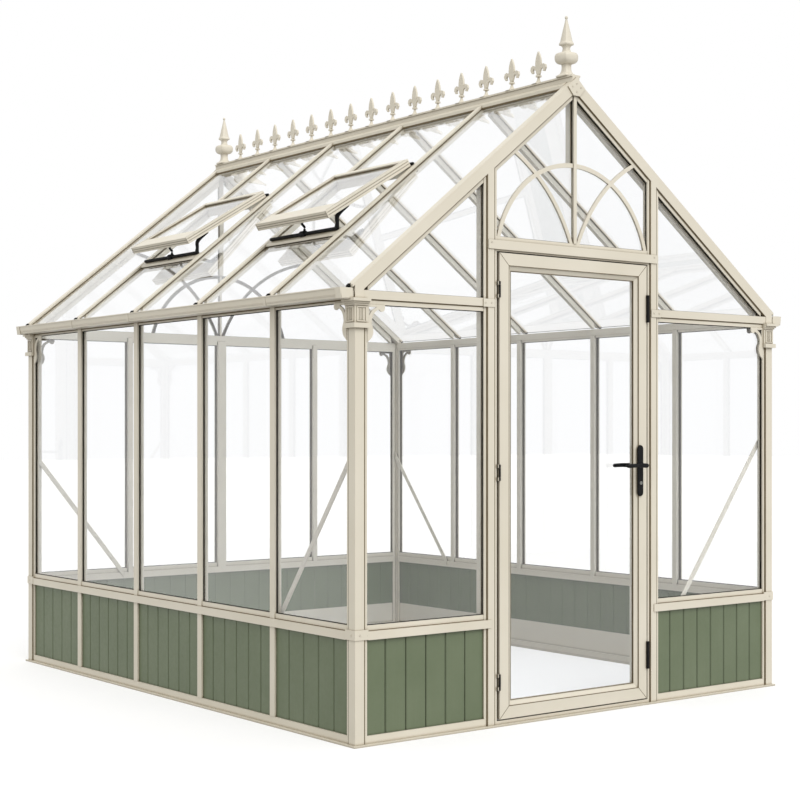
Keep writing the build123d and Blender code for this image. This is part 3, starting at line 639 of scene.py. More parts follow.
fanPoints = [vert.co for vert in nodes["fanlight_bars"].data.vertices]
webFoot = min(point.z for point in fanPoints if point.y > innerLegs["depths"][0] - wallY)
webEdges = (ridgeX - innerLegs["webHalf"], ridgeX + innerLegs["webHalf"])
webTop = roofHeight(ridgeX, section["rafterDrop"])
shape = bmesh.new()
addBox(shape, "front", *webEdges, *innerLegs["depths"], webFoot + innerLegs["webLift"], webTop)
finishPiece("mullion_web", shape, "cream_frame", edge=0.0008)


# black seals round the panes

sealing = {"width": 0.0032, "gableWidth": 0.0022, "face": 0.0142, "back": 0.0188}
mullionSide = {2: 1, 3: 3}  # panes beside the mullion over the door, and the side of each along it


def gableOpenings(wall):
    # clear outlines of the gable panes above the rails
    drop = section["beadDrop"]
    near, far = ridgeX - section["mullionHalf"], ridgeX + section["mullionHalf"]
    left = roofPoint("left", runAt("left", railTop, drop), 0)[0]
    right = roofPoint("right", runAt("right", railTop, drop), 0)[0]
    if wall == "back":
        top = roofHeight(ridgeX, drop)
        return [
            [(left, railTop), (near, railTop), (near, top)],
            [(far, railTop), (right, railTop), (far, top)],
        ]
    leftOuter, leftInner = doorPosts[0][0].x, doorPosts[0][1].x
    rightInner, rightOuter = doorPosts[1][0].x, doorPosts[1][1].x
    outlines = [
        [(left, railTop), (leftOuter, railTop), (leftOuter, roofHeight(leftOuter, drop))],
        [(rightOuter, railTop), (right, railTop), (rightOuter, roofHeight(rightOuter, drop))],
    ]
    for start, end in ((leftInner, near), (far, rightInner)):
        tops = [(end, roofHeight(end, drop)), (start, roofHeight(start, drop))]
        outlines.append([(start, transomTop), (end, transomTop), *tops])
    return outlines


shape = bmesh.new()
sealFaces = (sealing["face"], sealing["face"])
for wall in wallNames:
    top = sideBead if wall in ("left", "right") else endBead
    for start, end in wallOpenings(wall):
        outline = [(start, beadTop), (end, beadTop), (end, top), (start, top)]
        addFrame(shape, wall, outline, sealing["width"], sealFaces, sealing["back"])
for wall in ("front", "back"):
    for index, outline in enumerate(gableOpenings(wall)):
        skip = mullionSide.get(index)
        addFrame(shape, wall, outline, sealing["gableWidth"], sealFaces, sealing["back"], skip)
for sign in (-1, 1):
    # the mullion's own seals start above the arch
    inner = section["mullionHalf"]
    start, end = sorted((ridgeX + sign * inner, ridgeX + sign * (inner + sealing["gableWidth"])))
    top = min(roofHeight(start, section["beadDrop"]), roofHeight(end, section["beadDrop"]))
    addBox(shape, "front", start, end, sealing["face"], sealing["back"], webFoot, top)
finishPiece("pane_seals", shape, "seal")

# seal strips at the sides of the roof bar caps and under the ridge flange, coloured brown as painted shade
# along those edges
roofSealShade = {
    "width": 0.0018,
    "drops": (0.0138, 0.0168),
    "endInset": 0.0405,
    "ridgeRun": 0.003,
    "ridgeDrops": (0.010, 0.0165),
    "ridgeInset": 0.041,
}
roofLines = [(start + end) / 2 for start, end in barEdges("left")]
shape = bmesh.new()
for side in ("left", "right"):
    top = slopeReach(side) - section["ridgeHalf"] - section["ridgeFlange"]
    edges = [(line + sign * section["capHalf"], sign) for line in roofLines for sign in (-1, 1)]
    edges += [(sign * (wallY - roofSealShade["endInset"]), -sign) for sign in (-1, 1)]
    for edge, sign in edges:
        low = min(edge, edge + sign * roofSealShade["width"])
        addSlope(shape, side, (0.0, top), roofSealShade["drops"], low, low + roofSealShade["width"])
    end = wallY - roofSealShade["ridgeInset"]
    addSlope(shape, side, (top - roofSealShade["ridgeRun"], top), roofSealShade["ridgeDrops"], -end, end)
finishPiece("roof_seals_and_shade", shape, "sealsAndPaintedShade")
print("seals ready")


# brown strips of painted shade in the grooves of posts, rails and rafters

shadeLining = {
    "grooveFace": 0.0035,
    "grooveBack": 0.0145,
    "grooveLap": 0.0006,
    "foot": 0.0085,  # just above the base plate
    "railLap": 0.001,
    "collar": 0.009,  # clear of the collar above the rail
    "lineFace": 0.0062,
    "lineBack": 0.0085,
    "eaveLine": 0.005,
    "sillLine": 0.003,
    "doorGroove": 0.0215,
    "doorHalf": 0.0031,
    "rafterFace": 0.0022,
    "rafterLine": 0.004,
}


def addGrooveShade(shape, wall, start, end, low, high):
    # brown strip of painted shade that fills an upright groove
    addBox(shape, wall, start, end, shadeLining["grooveFace"], shadeLining["grooveBack"], low, high)


lineDepths = (shadeLining["lineFace"], shadeLining["lineBack"])
shape = bmesh.new()
for wall in wallNames:
    half = halfLength(wall)
    for sign in (-1, 1):
        inner = sign * (half - section["grooveEnd"] + shadeLining["grooveLap"])
        outer = sign * (half - section["postSize"] - shadeLining["grooveLap"])
        start, end = sorted((inner, outer))
        addGrooveShade(shape, wall, start, end, shadeLining["foot"], midLow + shadeLining["railLap"])
        addGrooveShade(shape, wall, start, end, midTop + shadeLining["collar"], capitalFoot)
    # painted shade: brown lines under the eave rail and over the mid rail of each opening
    for start, end in wallOpenings(wall):
        addBox(shape, wall, start, end, *lineDepths, eaveLow - shadeLining["eaveLine"], eaveLow)
        addBox(shape, wall, start, end, *lineDepths, midTop, midTop + shadeLining["sillLine"])
# painted shade: brown strips in the two grooves of each door post
for low, high in doorPosts:
    for sign in (-1, 1):
        line = (low.x + high.x) / 2 + sign * shadeLining["doorGroove"]
        start, end = line - shadeLining["doorHalf"], line + shadeLining["doorHalf"]
        tops = [(x, roofHeight(x, section["rafterDrop"])) for x in (end, start)]
        outline = [(start, shadeLining["foot"]), (end, shadeLining["foot"]), *tops]
        addPlate(shape, "front", outline, shadeLining["grooveFace"], shadeLining["grooveBack"])
# painted shade: brown strips along the underside of the end rafters
for sign in (-1, 1):
    ys = sorted(sign * (wallY - depth) for depth in (shadeLining["rafterFace"], shadeLining["lineBack"]))
    for side in ("left", "right"):
        drop = section["rafterDrop"]
        runs = (runAt(side, railTop, drop), slopeReach(side) - section["capHalf"])
        addSlope(shape, side, runs, (drop, drop + shadeLining["rafterLine"]), *ys)
finishPiece("groove_shade_lines", shape, "sealsAndPaintedShade")
print("joint lines ready")


# screw heads, and the trims of the corner posts

# depth of each kind's seat, distance below the height it is set out from, and radius
screwing = {
    "collar": {"depth": -0.0038, "below": 0.014, "radius": 0.0050},
    "flange": {"depth": -0.0018, "below": 0.018, "radius": 0.0040},
    "doorHead": {"depth": -0.0048, "below": -0.007, "radius": 0.0050},
    "rail": {"depth": -0.0032, "below": 0.020, "radius": 0.0045},
    "apex": {"depth": -0.0058, "below": 0.0, "radius": 0.0045},
}


def addScrew(shape, wall, along, top, kind):
    # low domed head
    screw = screwing[kind]
    radius = screw["radius"]
    stages = [
        (radius, -0.0005),
        (radius, 0.0012),
        (radius * 0.8, 0.0022),
        (radius * 0.35, 0.0026),
        (radius * 0.3, 0.0014),
    ]
    base = Vector(wallPoint(wall, along, screw["depth"], top - screw["below"]))
    outward = Vector(wallPoint(wall, 0, -1, 0)) - Vector(wallPoint(wall, 0, 0, 0))
    addTurned(shape, base, outward, stages, 12)


capitalTrim = {
    "ends": (0.004, 0.055),  # in from the corner
    "blockLow": 0.020,
    "blockHigh": 0.094,
    "margin": 0.005,
    "frame": 0.005,
    "proud": 0.0075,
    "base": 0.003,
}
fluting = {
    "lines": (0.0215, 0.0295, 0.0375),  # in from the corner
    "half": 0.0022,
    "proud": 0.0068,
    "base": 0.003,
    "short": 0.008,
}
postScrews = {"collar": 0.023, "flange": 0.060}  # in from the corner

shape = bmesh.new()
screws = bmesh.new()
for wall in wallNames:
    half = halfLength(wall)
    low = capitalFoot + capitalTrim["blockLow"] + capitalTrim["margin"]
    high = capitalFoot + capitalTrim["blockHigh"] - capitalTrim["margin"]
    for sign in (-1, 1):
        start, end = sorted(sign * (half - inset) for inset in capitalTrim["ends"])
        outline = [(start, low), (end, low), (end, high), (start, high)]
        faces = (-capitalTrim["proud"], -capitalTrim["proud"])
        addFrame(shape, wall, outline, capitalTrim["frame"], faces, -capitalTrim["base"])
        for line in fluting["lines"]:
            start = sign * (half - line) - fluting["half"]
            end = sign * (half - line) + fluting["half"]
            depths = (-fluting["proud"], -fluting["base"])
            addBox(shape, wall, start, end, *depths, low + fluting["short"], high - fluting["short"])
        for kind, inset in postScrews.items():
            addScrew(screws, wall, sign * (half - inset), midTop, kind)
finishPiece("capital_fluting", shape, "cream_frame", edge=0.0008)


# laps and screws of the rails and the gables

lapping = {
    "ends": (-0.018, 0.046),  # from the middle of a door post outwards
    "low": 0.0385,
    "high": 0.0025,
    "depths": (0.002, -0.0035),
    "flangeScrew": 0.029,
    "railScrews": (0.0, 0.035),
}
apexScrews = ((-0.026, 0.046), (0.026, 0.046), (0.0, 0.068), (0.0, 0.030))  # along and below the top

shape = bmesh.new()
for low, high in doorPosts:
    middle = (low.x + high.x) / 2
    turn = -1 if middle < ridgeX else 1
    start, end = sorted(middle + turn * reach for reach in lapping["ends"])
    heights = (railTop - lapping["low"], railTop - lapping["high"])
    addBox(shape, "front", start, end, *lapping["depths"], *heights)
    addScrew(screws, "front", middle, (leafHigh.z + transomTop) / 2, "doorHead")
    addScrew(screws, "front", middle + turn * lapping["flangeScrew"], midTop, "flange")
    for reach in lapping["railScrews"]:
        addScrew(screws, "front", middle + turn * reach, railTop, "rail")
finishPiece("rail_laps", shape, "cream_frame", edge=0.0006)
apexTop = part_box("apex_plates")[1].z
for wall in ("front", "back"):
    for along, down in apexScrews:
        addScrew(screws, wall, ridgeX + along, apexTop - down, "apex")
finishPiece("frame_screws", screws, "cream_frame")
print("trims ready")


# gutters: rolls, end sleeves and unions

guttering = {
    "back": 0.010,  # off the wall
    "backHigh": 0.028,
    "lean": 0.008,  # the front leans out towards its lip
    "roll": 0.0032,
    "rollHigh": 0.006,
    "rollSunk": 0.002,
    "lowRoll": 0.0085,
    "sleeve": 0.040,
    "sleeveGrow": 0.0035,
    "sleeveThick": 0.003,
    "union": 0.022,
    "unionGrow": 0.0016,
    "unionInset": 0.050,
}
gutterLow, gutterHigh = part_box("gutters")
gutterFoot = gutterLow.z
gutterLip = gutterHigh.z
gutterReach = -gutterLow.x - wallX
gutterEnd = gutterHigh.y


def gutterOutline(grow):
    # outer skin from the back over the bottom to the lip, as reach from the wall and height
    return [
        (guttering["back"] - grow, gutterFoot + guttering["backHigh"]),
        (guttering["back"] - grow, gutterFoot - grow),
        (gutterReach - guttering["lean"] + grow, gutterFoot - grow),
        (gutterReach + grow * 0.6, gutterLip),
    ]


def addAlongWall(shape, sign, corners, yLow, yHigh):
    # corners are reach out from the wall face and height
    nearEnd = [(sign * (wallX + reach), yLow, height) for reach, height in corners]
    farEnd = [(sign * (wallX + reach), yHigh, height) for reach, height in corners]
    addPrism(shape, nearEnd, farEnd)


def addSkin(shape, sign, outline, thick, yLow, yHigh):
    # bent strip along the wall, offset inwards by its thickness
    inner = []
    for index, point in enumerate(outline):
        here = Vector(point)
        before = Vector(outline[max(index - 1, 0)])
        after = Vector(outline[min(index + 1, len(outline) - 1)])
        first = (here - before).normalized() if index else (after - here).normalized()
        second = (after - here).normalized() if index < len(outline) - 1 else first
        inward = Vector((-first.y, first.x))
        onward = Vector((-second.y, second.x))
        inner.append(here + (inward + onward) / (1 + inward.dot(onward)) * thick)
    for index in range(len(outline) - 1):
        corners = [outline[index], outline[index + 1], inner[index + 1], inner[index]]
        addAlongWall(shape, sign, corners, yLow, yHigh)


def gutterFront(height):
    # reach of the leaning front at a height
    lean = guttering["lean"] / (gutterLip - gutterFoot)
    return gutterReach - guttering["lean"] + lean * (height - gutterFoot)


# underside and height of the roll at the lip and of the lower one
rollHigh = guttering["rollHigh"]
rolls = ((gutterLip - rollHigh, rollHigh), (gutterFoot + guttering["lowRoll"], rollHigh / 2))
shape = bmesh.new()
for sign in (-1, 1):
    for low, tall in rolls:
        high = low + tall
        corners = [
            (gutterFront(low) - guttering["rollSunk"], low),
            (gutterFront(low) + guttering["roll"], low + 0.0008),
            (gutterFront(high) + guttering["roll"] * 0.7, high),
            (gutterFront(high) - guttering["rollSunk"], high),
        ]
        end = gutterEnd - guttering["sleeve"]
        addAlongWall(shape, sign, corners, -end, end)
    for turn in (-1, 1):
        ends = sorted((turn * gutterEnd, turn * (gutterEnd - guttering["sleeve"])))
        addSkin(shape, sign, gutterOutline(guttering["sleeveGrow"]), guttering["sleeveThick"], *ends)
    for line in (roofLines[0], roofLines[2], roofLines[3]):
        middle = line - guttering["unionInset"]
        reach = guttering["union"] / 2
        grow = guttering["unionGrow"]
        addSkin(shape, sign, gutterOutline(grow), grow, middle - reach, middle + reach)
finishPiece("gutter_joints", shape, "cream_frame", edge=0.0007)


# black plugs at the feet of the roof bars

plugging = {"radius": 0.0105, "length": 0.022, "run": -0.011, "drop": 0.0045, "endInset": 0.024}


def addPlug(shape, side, y):
    x, z = roofPoint(side, plugging["run"], plugging["drop"])
    outward = Vector(roofPoint(side, 0, 0)) - Vector(roofPoint(side, 0.1, 0))
    axis = Vector((outward.x, 0, outward.y)).normalized()
    radius = plugging["radius"]
    length = plugging["length"]
    stages = [
        (radius * 0.45, -0.010),
        (radius * 0.55, -0.002),
        (radius * 0.95, 0.0),
        (radius, length * 0.25),
        (radius * 0.9, length * 0.6),
        (radius * 0.5, length * 0.68),
        (radius * 0.4, length * 0.8),
    ]
    addTurned(shape, (x, y, z), axis, stages, 12)


plugEnd = wallY - plugging["endInset"]
shape = bmesh.new()
for side in ("left", "right"):
    for line in roofLines + [-plugEnd, plugEnd]:
        addPlug(shape, side, line)
finishPiece("bar_plugs", shape, "seal")
print("gutter and roof feet ready")


# castings along the ridge

def copiedShape(node):
    # welded copy of a node with its flat faces joined up again
    shape = bmesh.new()
    shape.from_mesh(nodes[node].data)
    bmesh.ops.remove_doubles(shape, verts=shape.verts, dist=0.00001)
    bmesh.ops.dissolve_limit(
        shape,
        angle_limit=math.radians(1),
        verts=shape.verts,
        edges=shape.edges,
        use_dissolve_boundaries=False,
    )
    return shape


crest = copiedShape("ridge_cresting")
finishPiece("cresting", crest, "cream_frame", stands=["ridge_cresting"], edge=0.0022, smooth=40)

# half diagonal and height of each stage of the square finial, joined by a smooth curve
finialProfile = {
    "flange": [(0.051, 0.0), (0.052, 0.004), (0.049, 0.008)],
    "foot": [(0.049, 0.008), (0.034, 0.016), (0.026, 0.028), (0.0235, 0.044), (0.025, 0.059)],
    "ball": [
        (0.032, 0.060),
        (0.044, 0.064),
        (0.055, 0.075),
        (0.058, 0.090),
        (0.056, 0.102),
        (0.047, 0.112),
        (0.028, 0.117),
    ],
    "neck": [(0.023, 0.119), (0.0195, 0.127), (0.0195, 0.138), (0.026, 0.146)],
    "collar": [(0.034, 0.148), (0.0365, 0.151), (0.0365, 0.156), (0.034, 0.160), (0.031, 0.164)],
    "spire": [(0.030, 0.167), (0.0195, 0.211), (0.0048, 0.269)],
    "tip": [(0.0052, 0.270), (0.0078, 0.274), (0.0080, 0.278), (0.0050, 0.283), (0.0022, 0.285)],
}


def addSquareFinial(shape, base):
    stages = []
    for points in finialProfile.values():
        path = smoothed([(radius, height, 0) for radius, height in points], 4)
        stages += [(point.x, point.y) for point in path]
    rings = []
    for radius, height in stages:
        corners = []
        for turn in range(4):
            angle = math.radians(45 + 90 * turn)
            corners.append(Vector((math.cos(angle), math.sin(angle), 0)) * radius)
        ring = []
        for turn in range(4):
            start, end = corners[turn], corners[(turn + 1) % 4]
            for share in (0.06, 0.5, 0.94):
                ring.append(shape.verts.new(base + start.lerp(end, share) + Vector((0, 0, height))))
        rings.append(ring)
    closeRings(shape, rings)


shape = bmesh.new()
for low, high in solidBoxes("ridge_finials"):
    addSquareFinial(shape, Vector(((low.x + high.x) / 2, (low.y + high.y) / 2, low.z)))
bmesh.ops.remove_doubles(shape, verts=shape.verts, dist=0.00005)
finishPiece("finials", shape, "cream_frame", stands=["ridge_finials"], smooth=50)
print("ridge castings ready")


# door leaf: mitred members with a sloped bead on each side, and brown strips of painted shade between them

doorLeaf = {
    "face": 0.056,
    "bead": 0.022,
    "outerBead": (0.005, 0.0155, 0.0158),  # depths of its outer edge, inner edge and back
    "innerBead": (0.0395, 0.0390, 0.0242),
}
leafOutline = [
    (leafLow.x, leafLow.z),
    (leafHigh.x, leafLow.z),
    (leafHigh.x, leafHigh.z),
    (leafLow.x, leafHigh.z),
]
leafFace = leafLow.y + wallY
leafBack = leafHigh.y + wallY
beadOutline = insetOutline(leafOutline, doorLeaf["face"])
paneOutline = insetOutline(beadOutline, doorLeaf["bead"])
shape = bmesh.new()
addFrame(shape, "front", leafOutline, doorLeaf["face"], (leafFace, leafFace), leafBack)
for front, edge, back in (doorLeaf["outerBead"], doorLeaf["innerBead"]):
    faces = (leafFace + front, leafFace + edge)
    addFrame(shape, "front", beadOutline, doorLeaf["bead"], faces, leafFace + back)
finishPiece("door_members", shape, "cream_frame", body="door", stands=["door_frame"], edge=0.0012)

# painted shade: brown strips at the bead's edge, round the pane and along the mitres
doorShadeLines = {
    "bead": 0.0024,
    "beadLap": 0.0022,
    "pane": 0.0020,
    "paneLap": 0.0006,
    "paneDepths": (0.0128, 0.0150),
    "paneBack": 0.0159,
    "mitreHalf": 0.0011,
    "mitreInset": 0.003,
    "proud": 0.0004,
}
shape = bmesh.new()
proud = -doorShadeLines["proud"]
outline = insetOutline(leafOutline, doorLeaf["face"] - doorShadeLines["beadLap"])
addFrame(shape, "front", outline, doorShadeLines["bead"], (proud, proud), 0.006)
outline = insetOutline(paneOutline, -doorShadeLines["paneLap"])
addFrame(shape, "front", outline, doorShadeLines["pane"], doorShadeLines["paneDepths"], doorShadeLines["paneBack"])
for corner, inner in zip(leafOutline, beadOutline):
    ahead = (Vector(inner) - Vector(corner)).normalized()
    side = Vector((-ahead.y, ahead.x)) * doorShadeLines["mitreHalf"]
    near = Vector(corner) + ahead * doorShadeLines["mitreInset"]
    points = [near + side, near - side, Vector(inner) - side, Vector(inner) + side]
    addPlate(shape, "front", [tuple(point) for point in points], 0.004, proud)
finishPiece("door_shade_lines", shape, "sealsAndPaintedShade", body="door")

gapSeal = {"depths": (0.012, 0.030), "width": 0.0062, "foot": 0.024, "top": 0.0062, "head": 0.0035}
leftPost, rightPost = doorPosts
sealTop = leafHigh.z + gapSeal["top"]
shape = bmesh.new()
for edge, turn in ((leftPost[1].x, 1), (rightPost[0].x, -1)):
    start, end = sorted((edge, edge + turn * gapSeal["width"]))
    addBox(shape, "front", start, end, *gapSeal["depths"], gapSeal["foot"], sealTop)
start, end = leftPost[1].x, rightPost[0].x
addBox(shape, "front", start, end, *gapSeal["depths"], sealTop - gapSeal["head"], sealTop)
finishPiece("door_gap_seals", shape, "seal")

# pale hinge leaves with slim black barrels
hinging = {"radius": 0.0040, "leafFace": -0.0032, "leafBack": -0.0012, "leg": 0.004, "houseLeg": 0.006}
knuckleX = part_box("door_hinges")[0].x + hinging["radius"]
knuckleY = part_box("door_hinges")[0].y + hinging["radius"]
for node, body in (("door_hinges", "door"), ("post_hinges", "house")):
    low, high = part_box(node)
    if body == "door":
        start, end = knuckleX, high.x
        legStart = high.x - hinging["leg"]
        legBack = 0.0
    else:
        start, end = low.x, knuckleX
        legStart = low.x
        legBack = hinging["houseLeg"]
    legEnd = legStart + hinging["leg"]
    leaves = bmesh.new()
    barrels = bmesh.new()
    for boxLow, boxHigh in solidBoxes(node):
        heights = (boxLow.z, boxHigh.z)
        addBox(leaves, "front", start, end, hinging["leafBack"], hinging["leafFace"], *heights)
        addBox(leaves, "front", legStart, legEnd, legBack, hinging["leafFace"], *heights)
        radius = hinging["radius"]
        tall = boxHigh.z - boxLow.z
        stages = [(radius * 0.8, 0.0), (radius, 0.001), (radius, tall - 0.001), (radius * 0.8, tall)]
        addTurned(barrels, (knuckleX, knuckleY, boxLow.z), (0, 0, 1), stages, 16)
    finishPiece(body + "_hinge_leaves", leaves, "cream_frame", body=body, stands=[node])
    finishPiece(body + "_hinge_barrels", barrels, "black_fittings", body=body)
print("door leaf ready")


# door handle

handleShape = {
    "plateThick": 0.010,
    "plateEdge": 0.0032,
    "keyRadius": 0.0088,
    "keyDown": 0.084,
    "barRadius": 0.0092,
    "neckRadius": 0.0106,
    "innerLength": 0.095,
    "spindleRadius": 0.0045,
}
outerPlate, innerPlate = sorted(solidBoxes("handle_plates"), key=lambda pair: pair[0].y)
leverLow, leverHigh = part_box("door_lever")
handleX = (outerPlate[0].x + outerPlate[1].x) / 2
handleZ = (leverLow.z + leverHigh.z) / 2
outerBack = outerPlate[1].y + wallY
plateFace = outerBack - handleShape["plateThick"]


def slotOutline(low, high):
    # upright slot with half round ends
    radius = (high.x - low.x) / 2
    outline = []
    for centre, start in ((high.z - radius, 0), (low.z + radius, 180)):
        for step in range(13):
            angle = math.radians(start + 15 * step)
            outline.append((handleX + radius * math.cos(angle), centre + radius * math.sin(angle)))
    return outline


shape = bmesh.new()
addPlate(shape, "front", slotOutline(*outerPlate), outerBack, plateFace)
addPlate(shape, "front", slotOutline(*innerPlate), innerPlate[0].y + wallY, innerPlate[1].y + wallY)
edge = handleShape["plateEdge"]
finishPiece("lock_plates", shape, "black_fittings", body="door", stands=["handle_plates"], edge=edge)

shape = bmesh.new()
radius = handleShape["keyRadius"]
stages = [
    (radius, -0.001),
    (radius, 0.0025),
    (radius * 0.86, 0.0034),
    (radius * 0.5, 0.0036),
    (radius * 0.46, 0.0020),
]
keyPlace = wallPoint("front", handleX, plateFace, handleZ - handleShape["keyDown"])
addTurned(shape, keyPlace, (0, -1, 0), stages, 24)
finishPiece("key_cylinder", shape, "steel", body="door")


def addLever(shape, plateY, turn, reachY, length):
    # neck out from the plate, a rounded corner, then the bar towards the pane
    start = Vector((handleX, plateY, handleZ))
    points = [
        start,
        Vector((handleX, reachY - turn * 0.016, handleZ)),
        Vector((handleX - 0.004, reachY - turn * 0.004, handleZ)),
        Vector((handleX - 0.016, reachY, handleZ)),
        Vector((handleX - length * 0.5, reachY + turn * 0.001, handleZ + 0.0008)),
        Vector((handleX - length, reachY - turn * 0.001, handleZ - 0.0008)),
    ]
    path = smoothed(points, 6)
    neck, bar = handleShape["neckRadius"], handleShape["barRadius"]
    radii = []
    for point in path:
        share = max(0.0, min(1.0, (handleX - point.x) / length))
        radii.append(neck * (1 - share) + bar * share * (0.9 + 0.1 * share))
    ahead = (path[-1] - path[-2]).normalized()
    for reach, size in ((0.003, 0.9), (0.0055, 0.65), (0.0068, 0.3)):
        path.append(points[-1] + ahead * reach)
        radii.append(bar * size)
    addTube(shape, path, radii, 16)
    addTurned(shape, start, (0, turn, 0), [(0.0135, 0.0002), (0.0135, 0.003), (0.011, 0.0045)], 24)


shape = bmesh.new()
outerY = plateFace - wallY
innerY = innerPlate[1].y
reachOuter = leverLow.y + handleShape["neckRadius"]
reachInner = leverHigh.y - handleShape["neckRadius"]
addLever(shape, outerY - 0.0005, -1, reachOuter, handleX - leverLow.x - 0.007)
addLever(shape, innerY + 0.0005, 1, reachInner, handleShape["innerLength"])
spindle = [(handleShape["spindleRadius"], 0.0), (handleShape["spindleRadius"], innerY - outerY)]
addTurned(shape, (handleX, outerY, handleZ), (0, 1, 0), spindle, 12)
finishPiece("lever_handle", shape, "black_fittings", body="lever", stands=["door_lever"], smooth=50)
print("door handle ready")


# roof vents: brown lines of painted shade and seals on the frames, and the opening gear

venting = {
    "line": 0.0011,  # half width of a painted shade line
    "proud": 0.0004,
    "sunk": 0.002,
    "rim": 0.004,  # lines stop short of the frame's ends
    "outerInset": 0.014,
    "mitre": (0.004, 0.0062),
    "seal": 0.0016,
    "sealInset": 0.030,
    "sealFoot": 0.090,
    "sealDepths": (0.012, 0.006),
}
opener = {
    "run": 0.387,  # level distance in from the wall
    "lift": 0.008,  # above the roof line
    "endInset": 0.020,
    "barRadius": 0.0105,
    "stayRadius": 0.0062,
    "lean": 0.060,
    "middleRun": 0.381,
    "pinRun": 0.809,
    "pinLift": 0.007,
    "pinRadius": 0.0078,
}
vents = solidBoxes("vent_frames")
ventPoints = [vert.co for vert in nodes["vent_frames"].data.vertices]
hingeEdge = max(ventPoints, key=lambda point: point.x)
footEdge = min(ventPoints, key=lambda point: point.z)
outerEdge = min(ventPoints, key=lambda point: point.x)
ventDown = Vector((footEdge.x - hingeEdge.x, 0, footEdge.z - hingeEdge.z))
ventReach = ventDown.length
ventDown.normalize()
ventOut = Vector((outerEdge.x - footEdge.x, 0, outerEdge.z - footEdge.z))
ventDepth = ventOut.length
ventOut.normalize()
hingeStart = Vector((hingeEdge.x, 0, hingeEdge.z))


def ventPlace(down, y, out):
    # point in a vent's own frame: down the slope from its hinge and outwards
    return hingeStart + ventDown * down + ventOut * out + Vector((0, y, 0))


def addVentBlock(shape, downs, ys, outs):
    # block between two distances each way in a vent's own frame
    corners = [(downs[0], outs[0]), (downs[1], outs[0]), (downs[1], outs[1]), (downs[0], outs[1])]
    nearEnd = [ventPlace(down, ys[0], out) for down, out in corners]
    farEnd = [ventPlace(down, ys[1], out) for down, out in corners]
    addPrism(shape, nearEnd, farEnd)


def underVent(run):
    # point on the underside of the raised frame, above a level distance in from the wall
    x = roofPoint("left", run, 0)[0]
    return x, hingeStart.z + (x - hingeStart.x) * ventDown.z / ventDown.x - 0.001


def addVentShadeLines(shape, low, high):
    # brown lines of painted shade along the sides, the outer face and the foot of a vent frame
    thin, rim = venting["line"], venting["rim"]
    downs = (rim, ventReach - rim)
    footFace = (ventReach - venting["sunk"], ventReach + venting["proud"])
    outerFace = (ventDepth - venting["sunk"], ventDepth + venting["proud"])
    for side, inward in ((low.y, 1), (high.y, -1)):
        sideFace = sorted((side + inward * venting["sunk"], side - inward * venting["proud"]))
        for share in (0.36, 0.72):
            addVentBlock(shape, downs, sideFace, (ventDepth * share - thin, ventDepth * share + thin))
        inner = side + inward * venting["outerInset"]
        addVentBlock(shape, downs, (inner - thin, inner + thin), outerFace)
        mitre = sorted(side + inward * reach for reach in venting["mitre"])
        addVentBlock(shape, footFace, mitre, (venting["sunk"], ventDepth - venting["sunk"]))
    for share in (0.3, 0.62):
        out = ventDepth * share
        addVentBlock(shape, footFace, (low.y + rim, high.y - rim), (out - thin, out + thin))


def addVentSeals(shape, low, high):
    # strip round the pane
    inset, width = venting["sealInset"], venting["seal"]
    foot = ventReach - venting["sealFoot"]
    outs = [ventDepth - depth for depth in venting["sealDepths"]]
    for start, end in ((inset, inset + width), (foot - width, foot)):
        addVentBlock(shape, (start, end), (low.y + inset, high.y - inset), outs)
    for start, end in ((low.y + inset, low.y + inset + width), (high.y - inset - width, high.y - inset)):
        addVentBlock(shape, (inset, foot), (start, end), outs)


def addOpener(shape, low, high):
    # bar along the sill with a hub, a bent pair of stays at one end and one in the middle
    middle = (low.y + high.y) / 2
    barX, barZ = roofPoint("left", opener["run"], -opener["lift"])
    start, end = low.y + opener["endInset"], high.y - opener["endInset"]
    corners = []
    for step in range(12):
        angle = 2 * math.pi * step / 12
        radius = opener["barRadius"]
        corners.append((barX + radius * math.cos(angle), barZ + radius * 0.8 * math.sin(angle)))
    addPrism(shape, [(x, start, z) for x, z in corners], [(x, end, z) for x, z in corners])
    hub = [(0.0145, 0), (0.0155, 0.004), (0.0155, 0.036), (0.0145, 0.040)]
    addTurned(shape, (barX, middle - 0.020, barZ), (0, 1, 0), hub, 12)
    headX, headZ = underVent(opener["run"] + opener["lean"])
    for y, sway, thick in ((start + 0.002, 0.0, 1.4), (start + 0.016, 0.010, 1.1)):
        points = [
            (barX, y, barZ),
            (barX + sway * 0.6, y, barZ + 0.026),
            (barX + sway * 0.2 + 0.002, y, barZ + 0.055),
            (barX + 0.022, y, barZ + 0.080),
            (headX, y, headZ),
        ]
        path = smoothed(points, 5)
        addTube(shape, path, [opener["stayRadius"] * thick] * len(path), 10)
    headX, headZ = underVent(opener["middleRun"])
    points = [
        (barX, middle, barZ),
        (barX + 0.007, middle, barZ + 0.030),
        (headX - 0.002, middle, (barZ + headZ) / 2 + 0.012),
        (headX, middle, headZ),
    ]
    path = smoothed(points, 5)
    addTube(shape, path, [opener["stayRadius"]] * len(path), 10)


def addHingePin(shape, low, high):
    # round bar at the head, longer than the frame
    x, z = roofPoint("left", opener["pinRun"], -opener["pinLift"])
    start = low.y - 0.007
    length = high.y - low.y + 0.014
    radius = opener["pinRadius"]
    stages = [(radius * 0.6, 0), (radius, 0.002), (radius, length - 0.002), (radius * 0.6, length)]
    addTurned(shape, (x, start, z), (0, 1, 0), stages, 14)


ventShadeLines = bmesh.new()
ventSeals = bmesh.new()
openers = bmesh.new()
for low, high in vents:
    addVentShadeLines(ventShadeLines, low, high)
    addVentSeals(ventSeals, low, high)
    addOpener(openers, low, high)
    addHingePin(openers, low, high)
